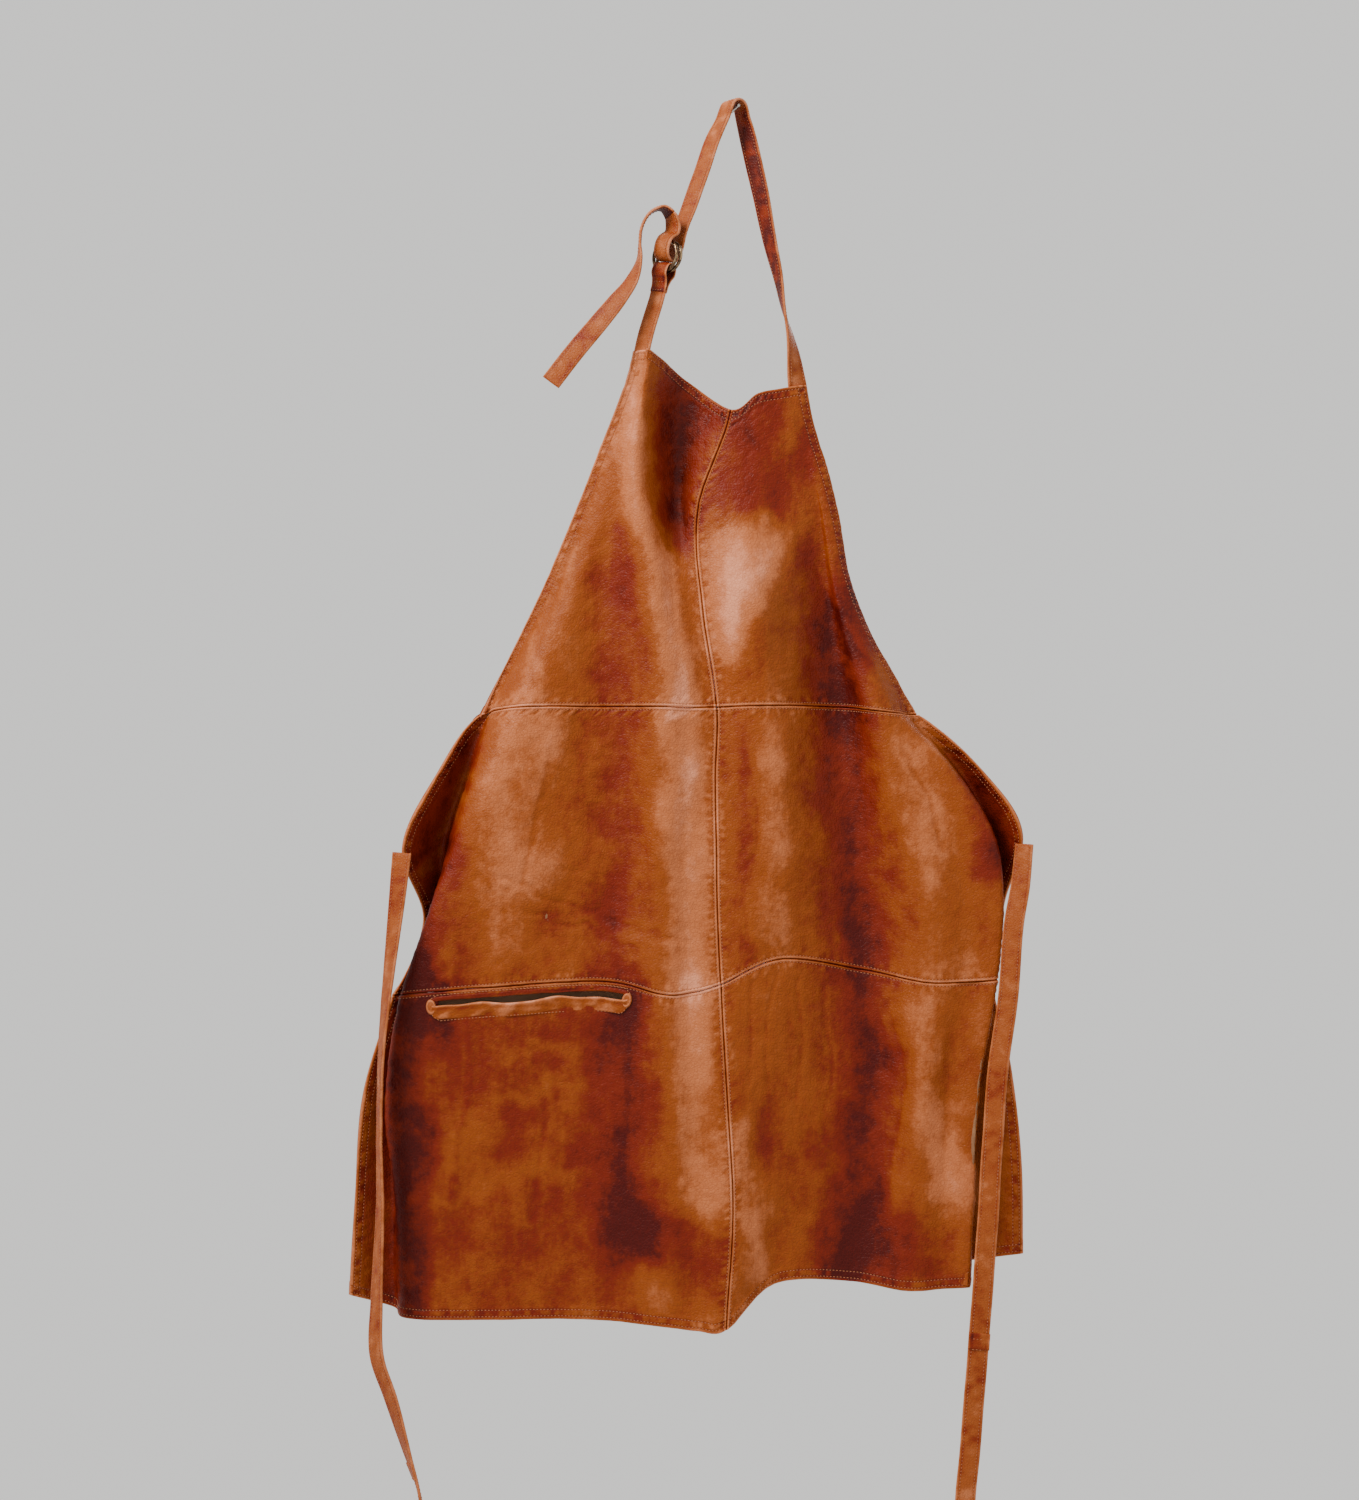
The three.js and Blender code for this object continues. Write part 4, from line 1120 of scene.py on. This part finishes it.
def leather_faces(rows, count, slit):
    """Faces of a panel: front, back, a rim in two strips and the walls of its slit."""
    size = rows * count
    rim, after = grid_rim(rows, count)
    cells = grid_faces(rows, count).reshape(rows - 1, count - 1, 4)
    kept = cells[~slit]
    ring = 2 * size + np.arange(len(rim))
    ring_after = np.roll(ring, -1)
    groups = [
        kept[:, ::-1], kept + size,
        np.stack([rim, after, ring_after, ring], 1),
        np.stack([ring, ring_after, after + size, rim + size], 1),
    ]
    walls = []
    for j, i in np.argwhere(slit):
        a, b, c, d = cells[j, i]
        for (p, q), (dj, di) in zip(((a, b), (b, c), (c, d), (d, a)), ((-1, 0), (0, 1), (1, 0), (0, -1))):
            if not slit[j + dj, i + di]:
                walls.append((q, p, p + size, q + size))
    return np.concatenate(groups + ([np.array(walls)] if walls else [])), kept[:, 0]


def panel_stitches(name, front, hems):
    """A row of stitches along each seam, and two along each free edge."""
    out = unit(np.cross(np.gradient(front, axis=0), np.gradient(front, axis=1)))
    rows = []
    for edge in ("left", "right", "top", "bottom"):
        hemmed = edge in hems
        for at in ROW_AT[:2 if hemmed else 1]:
            k = int(np.argmin(np.abs(EDGE_STEPS - at)))
            skip = int(np.argmin(np.abs(EDGE_STEPS - (2.2 * MM if hemmed else 1.2 * MM))))
            inner = slice(skip, -skip - 1)
            pick = {
                "left": (inner, k), "right": (inner, -k - 1), "top": (k, inner), "bottom": (-k - 1, inner),
            }[edge]
            line = front[pick]
            rows.append((line, unit(np.gradient(line, axis=0)), out[pick]))
    stitches(f"{name}_stitches", rows, "apron")


def panel(name, folds, levels, hems, seed):
    """One panel between two fold lines and two levels; hems names its free edges.

    Each point of the grid stands off the drape by the panel's relief, and a
    second face lies one leather's thickness behind it.
    """
    fold_at, level_at, widest, tallest = panel_grid(folds, levels)
    base, normal = drape(fold_at, level_at), drape_normals(fold_at, level_at)
    across, down = lengths_along(base, 1), lengths_along(base, 0)
    gaps = {
        "left": (across, down), "right": (across[:, -1:] - across, down),
        "top": (down, across), "bottom": (down[-1:] - down, across),
    }
    height, behind, pull, hollow = panel_relief(base[..., 0], base[..., 2], gaps, hems, seed)
    front = base + normal * height[..., None]
    back = base - normal * behind[..., None]
    size = height.size
    rim, _ = grid_rim(*height.shape)
    outward = unit((base - base.mean((0, 1))) * (1, 0.2, 1)).reshape(-1, 3)[rim]
    middle = (front.reshape(-1, 3)[rim] + back.reshape(-1, 3)[rim]) / 2 + outward * 0.15 * MM
    faces, kept = leather_faces(*height.shape, slit_cells(name, fold_at, level_at))
    points = np.concatenate([front.reshape(-1, 3), back.reshape(-1, 3), middle])
    piece = new_piece(f"{name}_leather", points, faces.tolist(), [APRON_LEATHER, FLESH])

    # Behind, the flesh side shows inside the turned hems.
    inside = np.min([gaps[edge][0] for edge in hems], axis=0) > 12.6 * MM
    flesh = np.zeros(len(faces), np.int32)
    flesh[len(kept):2 * len(kept)] = inside.ravel()[kept]
    piece.data.polygons.foreach_set("material_index", flesh)
    mark(
        piece, pull=np.r_[pull.ravel(), np.full(size, 0.2), np.full(len(rim), 0.8)],
        hollow=np.r_[hollow.ravel(), np.zeros(size), np.zeros(len(rim))],
    )
    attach(piece, "apron")
    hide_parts(name)
    corner = front[:-1, :-1]
    area = float(np.linalg.norm(np.cross(front[1:, :-1] - corner, front[:-1, 1:] - corner), axis=2).sum())
    panel_stitches(name, front, hems)


SEAM_HALF = 0.12  # millimetres between a panel's edge and the seam's own line
side_gap, end_gap = SEAM_HALF / 50, SEAM_HALF / 270
left_half, right_half = (0, CENTRE_SEAM - side_gap), (CENTRE_SEAM + side_gap, LAST)
bands = {"bib": (0, 1 - end_gap), "waist": (1 + end_gap, 2 - end_gap), "skirt": (2 + end_gap, 3)}
free_edge = {"bib": {"top"}, "waist": set(), "skirt": {"bottom"}}
for number, (band, levels) in enumerate(bands.items()):
    panel(f"{band}_panel_left", left_half, levels, free_edge[band] | {"left"}, 11 + number)
    panel(f"{band}_panel_right", right_half, levels, free_edge[band] | {"right"}, 21 + number)


# --------------------------------------------------------------------- pocket
# Two lips of the same leather, rolled over a cord of their own turnings, close
# the slit but for its mouth. A cotton twill bag hangs from them inside.
def pocket_frame(folds):
    """Points along the slit's middle, with the ways along, down and out of the leather."""
    level = np.full_like(folds, POCKET["middle"])
    line, out = drape(folds, level), drape_normals(folds, level)
    along = unit(np.gradient(line, axis=0))
    down = np.cross(out, along)
    return line, along, down * np.sign(-down[:, 2:]), out


def pocket_lip(name, section, edge, waver, seed, dark):
    """A lip: its closed section carried along the slit, drawn in at its two ends.

    section holds millimetres down from the lip's free edge and out of the
    leather. The free edge lies edge below the slit's middle and wavers by waver;
    the lip's outer face is crumpled by ripples of 0.22 mm.
    """
    count = 170
    line, _, down, out = pocket_frame(np.linspace(POCKET["left"], POCKET["right"], count))
    run, downward = run_of(line), unit(down)
    end = np.clip(np.minimum(run, run[-1] - run) / (9 * MM), 0, 1)
    ease = np.sqrt(1 - (1 - end) ** 2)
    corners = np.column_stack([np.array(section, float) * MM, np.zeros(len(section))])
    smooth = smooth_line(corners[np.r_[0:len(section), 0]], 41)[:-1]
    free = (edge + waver * ripples(run, run * 0, seed, 26 * MM, 90 * MM, 8)) * MM * (0.3 + 0.7 * ease)
    v = free[:, None] + smooth[None, :, 0] * (0.75 + 0.25 * ease[:, None])
    outer = np.clip(smooth[:, 1] / (0.6 * MM), 0, 1)
    crumple = ripples(run[:, None] * 0.7 + 0 * v, v * 1.6, seed + 1, 8 * MM, 46 * MM, 22)
    rise = smooth[None, :, 1] * (0.55 + 0.45 * ease[:, None]) + 0.22 * MM * crumple * outer * ease[:, None]
    points = line[:, None, :] + downward[:, None, :] * v[..., None] + out[:, None, :] * rise[..., None]
    ring = len(smooth)
    ends = [list(range(ring))[::-1], [(count - 1) * ring + k for k in range(ring)]]
    faces = grid_faces(count, ring, around=True).tolist() + ends
    piece = new_piece(f"{name}_leather", points.reshape(-1, 3), faces, [APRON_LEATHER])
    # The crumple's crests are painted paler as painted highlight; dark paints shade over the whole lip, and
    # the faces turned into the slit carry more painted shade.
    rim = bell(smooth[:, 0], 1.8 * MM) * (smooth[:, 1] > 0)
    pull = rim[None, :] + (0.1 + 0.25 * crumple) * outer[None, :]
    hollow = np.full(points.shape[:2], dark) + 0.8 * (smooth[:, 1] < 0)[None, :]
    mark(piece, pull=pull * (1 - dark), hollow=hollow)
    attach(piece, "apron")
    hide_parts(name)


# The upper lip lies in the dark gap of the slit and carries 0.7 of painted shade.
pocket_lip(
    "pocket_lip_upper", [(0, -1.2), (-0.3, 0.1), (-1.2, 0.55), (-4, 0.5), (-4.6, -0.4), (-2, -2.2)],
    -2.5, 0.25, 61, 0.7,
)
pocket_lip(
    "pocket_lip_lower",
    [
        (0, -0.6), (-0.1, 0.9), (0.9, 1.9), (2.4, 1.8), (6, 1.2),
        (10, 0.75), (12.6, 0.2), (12.6, -0.8), (2.5, -2.0),
    ],
    2.4, 0.8, 67, 0.0,
)


def pocket_end(name, fold, half_wide=4.6, half_tall=7.2):
    """The bar-tacked end of the slit: a low oval pad, its rim rolled over a cord.

    Its height is 0.9 mm, and 0.75 mm more on the rolled rim at 0.78 of its size.
    """
    line, along, downward, out = (rows[0] for rows in pocket_frame(np.array([fold, fold + 0.02])))
    rings, sides = 14, 44
    radius, turn = np.linspace(0.02, 1, rings)[:, None], (np.arange(sides) * 2 * math.pi / sides)[None, :]
    x, v = radius * half_wide * MM * np.cos(turn), (2.2 + radius * half_tall * np.sin(turn)) * MM
    rise = (0.9 + 0.75 * bell(radius - 0.78, 0.13)) * np.sqrt(np.clip(1 - radius**4, 0, 1)) * MM
    rise = rise + 0.12 * MM * ripples(x, v, 91 + int(fold), 3 * MM, 9 * MM, 10) * (1 - radius)
    top = line + x[..., None] * along + v[..., None] * downward + rise[..., None] * out
    under = top[-1] - out * 1.2 * MM
    points = np.concatenate([top.reshape(-1, 3), under])
    faces = grid_faces(rings + 1, sides, around=True).tolist()
    faces += [list(range(sides))[::-1], [rings * sides + k for k in range(sides)]]
    piece = new_piece(name, points, faces, [APRON_LEATHER])
    pull = 0.35 + 0.7 * bell(radius - 0.78, 0.14) * np.ones_like(turn)
    mark(piece, pull=np.r_[pull.ravel(), np.zeros(sides)], hollow=np.zeros((rings + 1) * sides))
    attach(piece, "apron")


pocket_end("pocket_end_left", POCKET["left"] - 0.005)
pocket_end("pocket_end_right", POCKET["right"] - 0.015)

# A row of stitches above the lips and one below, which meet past both ends.
share = np.linspace(0, 1, 160)
folds = POCKET["left"] - 0.045 + share * (POCKET["right"] - POCKET["left"] + 0.09)
line, _, down, out = pocket_frame(folds)
bow = np.clip(np.minimum(share, 1 - share) / 0.055, 0, 1) ** 0.5
pocket_rows = []
for off in (-8.2 * MM, 15.4 * MM):
    row = line + unit(down) * (off * bow)[:, None] + out * 0.12 * MM
    pocket_rows.append((row, unit(np.gradient(row, axis=0)), out))
stitches("pocket_stitches", pocket_rows, "apron")


def lining_finish():
    """Brown cotton twill: fine diagonal ribs."""
    finish = Finish("pocket_lining")
    place = finish.place()
    slant = finish.add("Mapping", inputs={"Vector": place, "Rotation": (0, math.radians(45), 0)})
    ribs = {"Vector": slant, "Scale": 260, "Distortion": 0.6}
    rib = finish.add("TexWave", {"bands_direction": "X"}, ribs)
    cloud = finish.noise(place, 40, 4, 0.6)
    weave = rib * 0.6 + cloud * 0.4
    finish.shade("Base Color", finish.mix(weave, (0.16, 0.085, 0.045), (0.30, 0.17, 0.095)))
    finish.shade("Roughness", 0.92)
    finish.bumps((rib, 0.3 * MM), (cloud, 1.0 * MM))
    return finish.material


def pocket_bag(depth=175 * MM, room=9 * MM, cloth=0.9 * MM):
    """The bag: one strip of cloth down from the lower lip, round and up behind.

    Its two layers stand apart by room in the middle of its width, as the sine of
    the way across, and meet in a seam at each side. t runs from 0 at the lower
    lip to 1 at the bag's foot and 2 at the upper lip.
    """
    wide, tall = 74, 150
    folds = np.linspace(POCKET["left"] - 0.01, POCKET["right"] + 0.01, wide)[None, :] * np.ones((tall, 1))
    t = np.linspace(0, 2, tall)[:, None] * np.ones((1, wide))
    half_slit = (POCKET["mouth"] / 2 + POCKET["welt"]) / SKIRT_LENGTH
    lower, upper = POCKET["middle"] + half_slit, POCKET["middle"] - half_slit
    foot = lower + depth / SKIRT_LENGTH
    top = np.where(t < 1, lower, upper)
    level = top + (foot - top) * np.sin(t * math.pi / 2)
    across = np.linspace(0, 1, wide)[None, :]
    swell = np.sqrt(np.clip(np.sin(across * math.pi), 0, 1))
    middle = 3.4 * MM + cloth / 2 + room / 2
    closing = np.sqrt(1 - np.clip(1 - np.abs(t - 1) * 6, 0, 1) ** 2)
    apart = (room / 2 * swell + cloth / 2) * np.sign(t - 1) * closing
    base, out = drape(folds, level), drape_normals(folds, level)
    billow = 0.5 * MM * ripples(base[..., 0], base[..., 2], 83, 25 * MM, 90 * MM, 16) * swell
    centre = base - out * (middle + apart + billow)[..., None]
    square = unit(np.cross(np.gradient(centre, axis=1), np.gradient(centre, axis=0)))
    faced = [(centre + side * square * cloth / 2).reshape(-1, 3) for side in (1, -1)]
    cells, (rim, after), size = grid_faces(tall, wide), grid_rim(tall, wide), tall * wide
    edge = np.stack([rim, after, after + size, rim + size], 1)
    faces = np.concatenate([cells[:, ::-1], cells + size, edge])
    bag = new_piece("pocket_bag_cloth", np.concatenate(faced), faces.tolist(), [lining_finish()])
    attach(bag, "apron")
    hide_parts("pocket_bag")
    seams = []
    sewn = slice(5, tall // 2 - 3)
    for column in (2, wide - 3):
        line, outward = centre[sewn, column], out[sewn, column]
        seams.append((line + outward * cloth * 0.55, unit(np.gradient(line, axis=0)), outward))
    stitches("pocket_bag_stitches", seams, "apron")


pocket_bag()
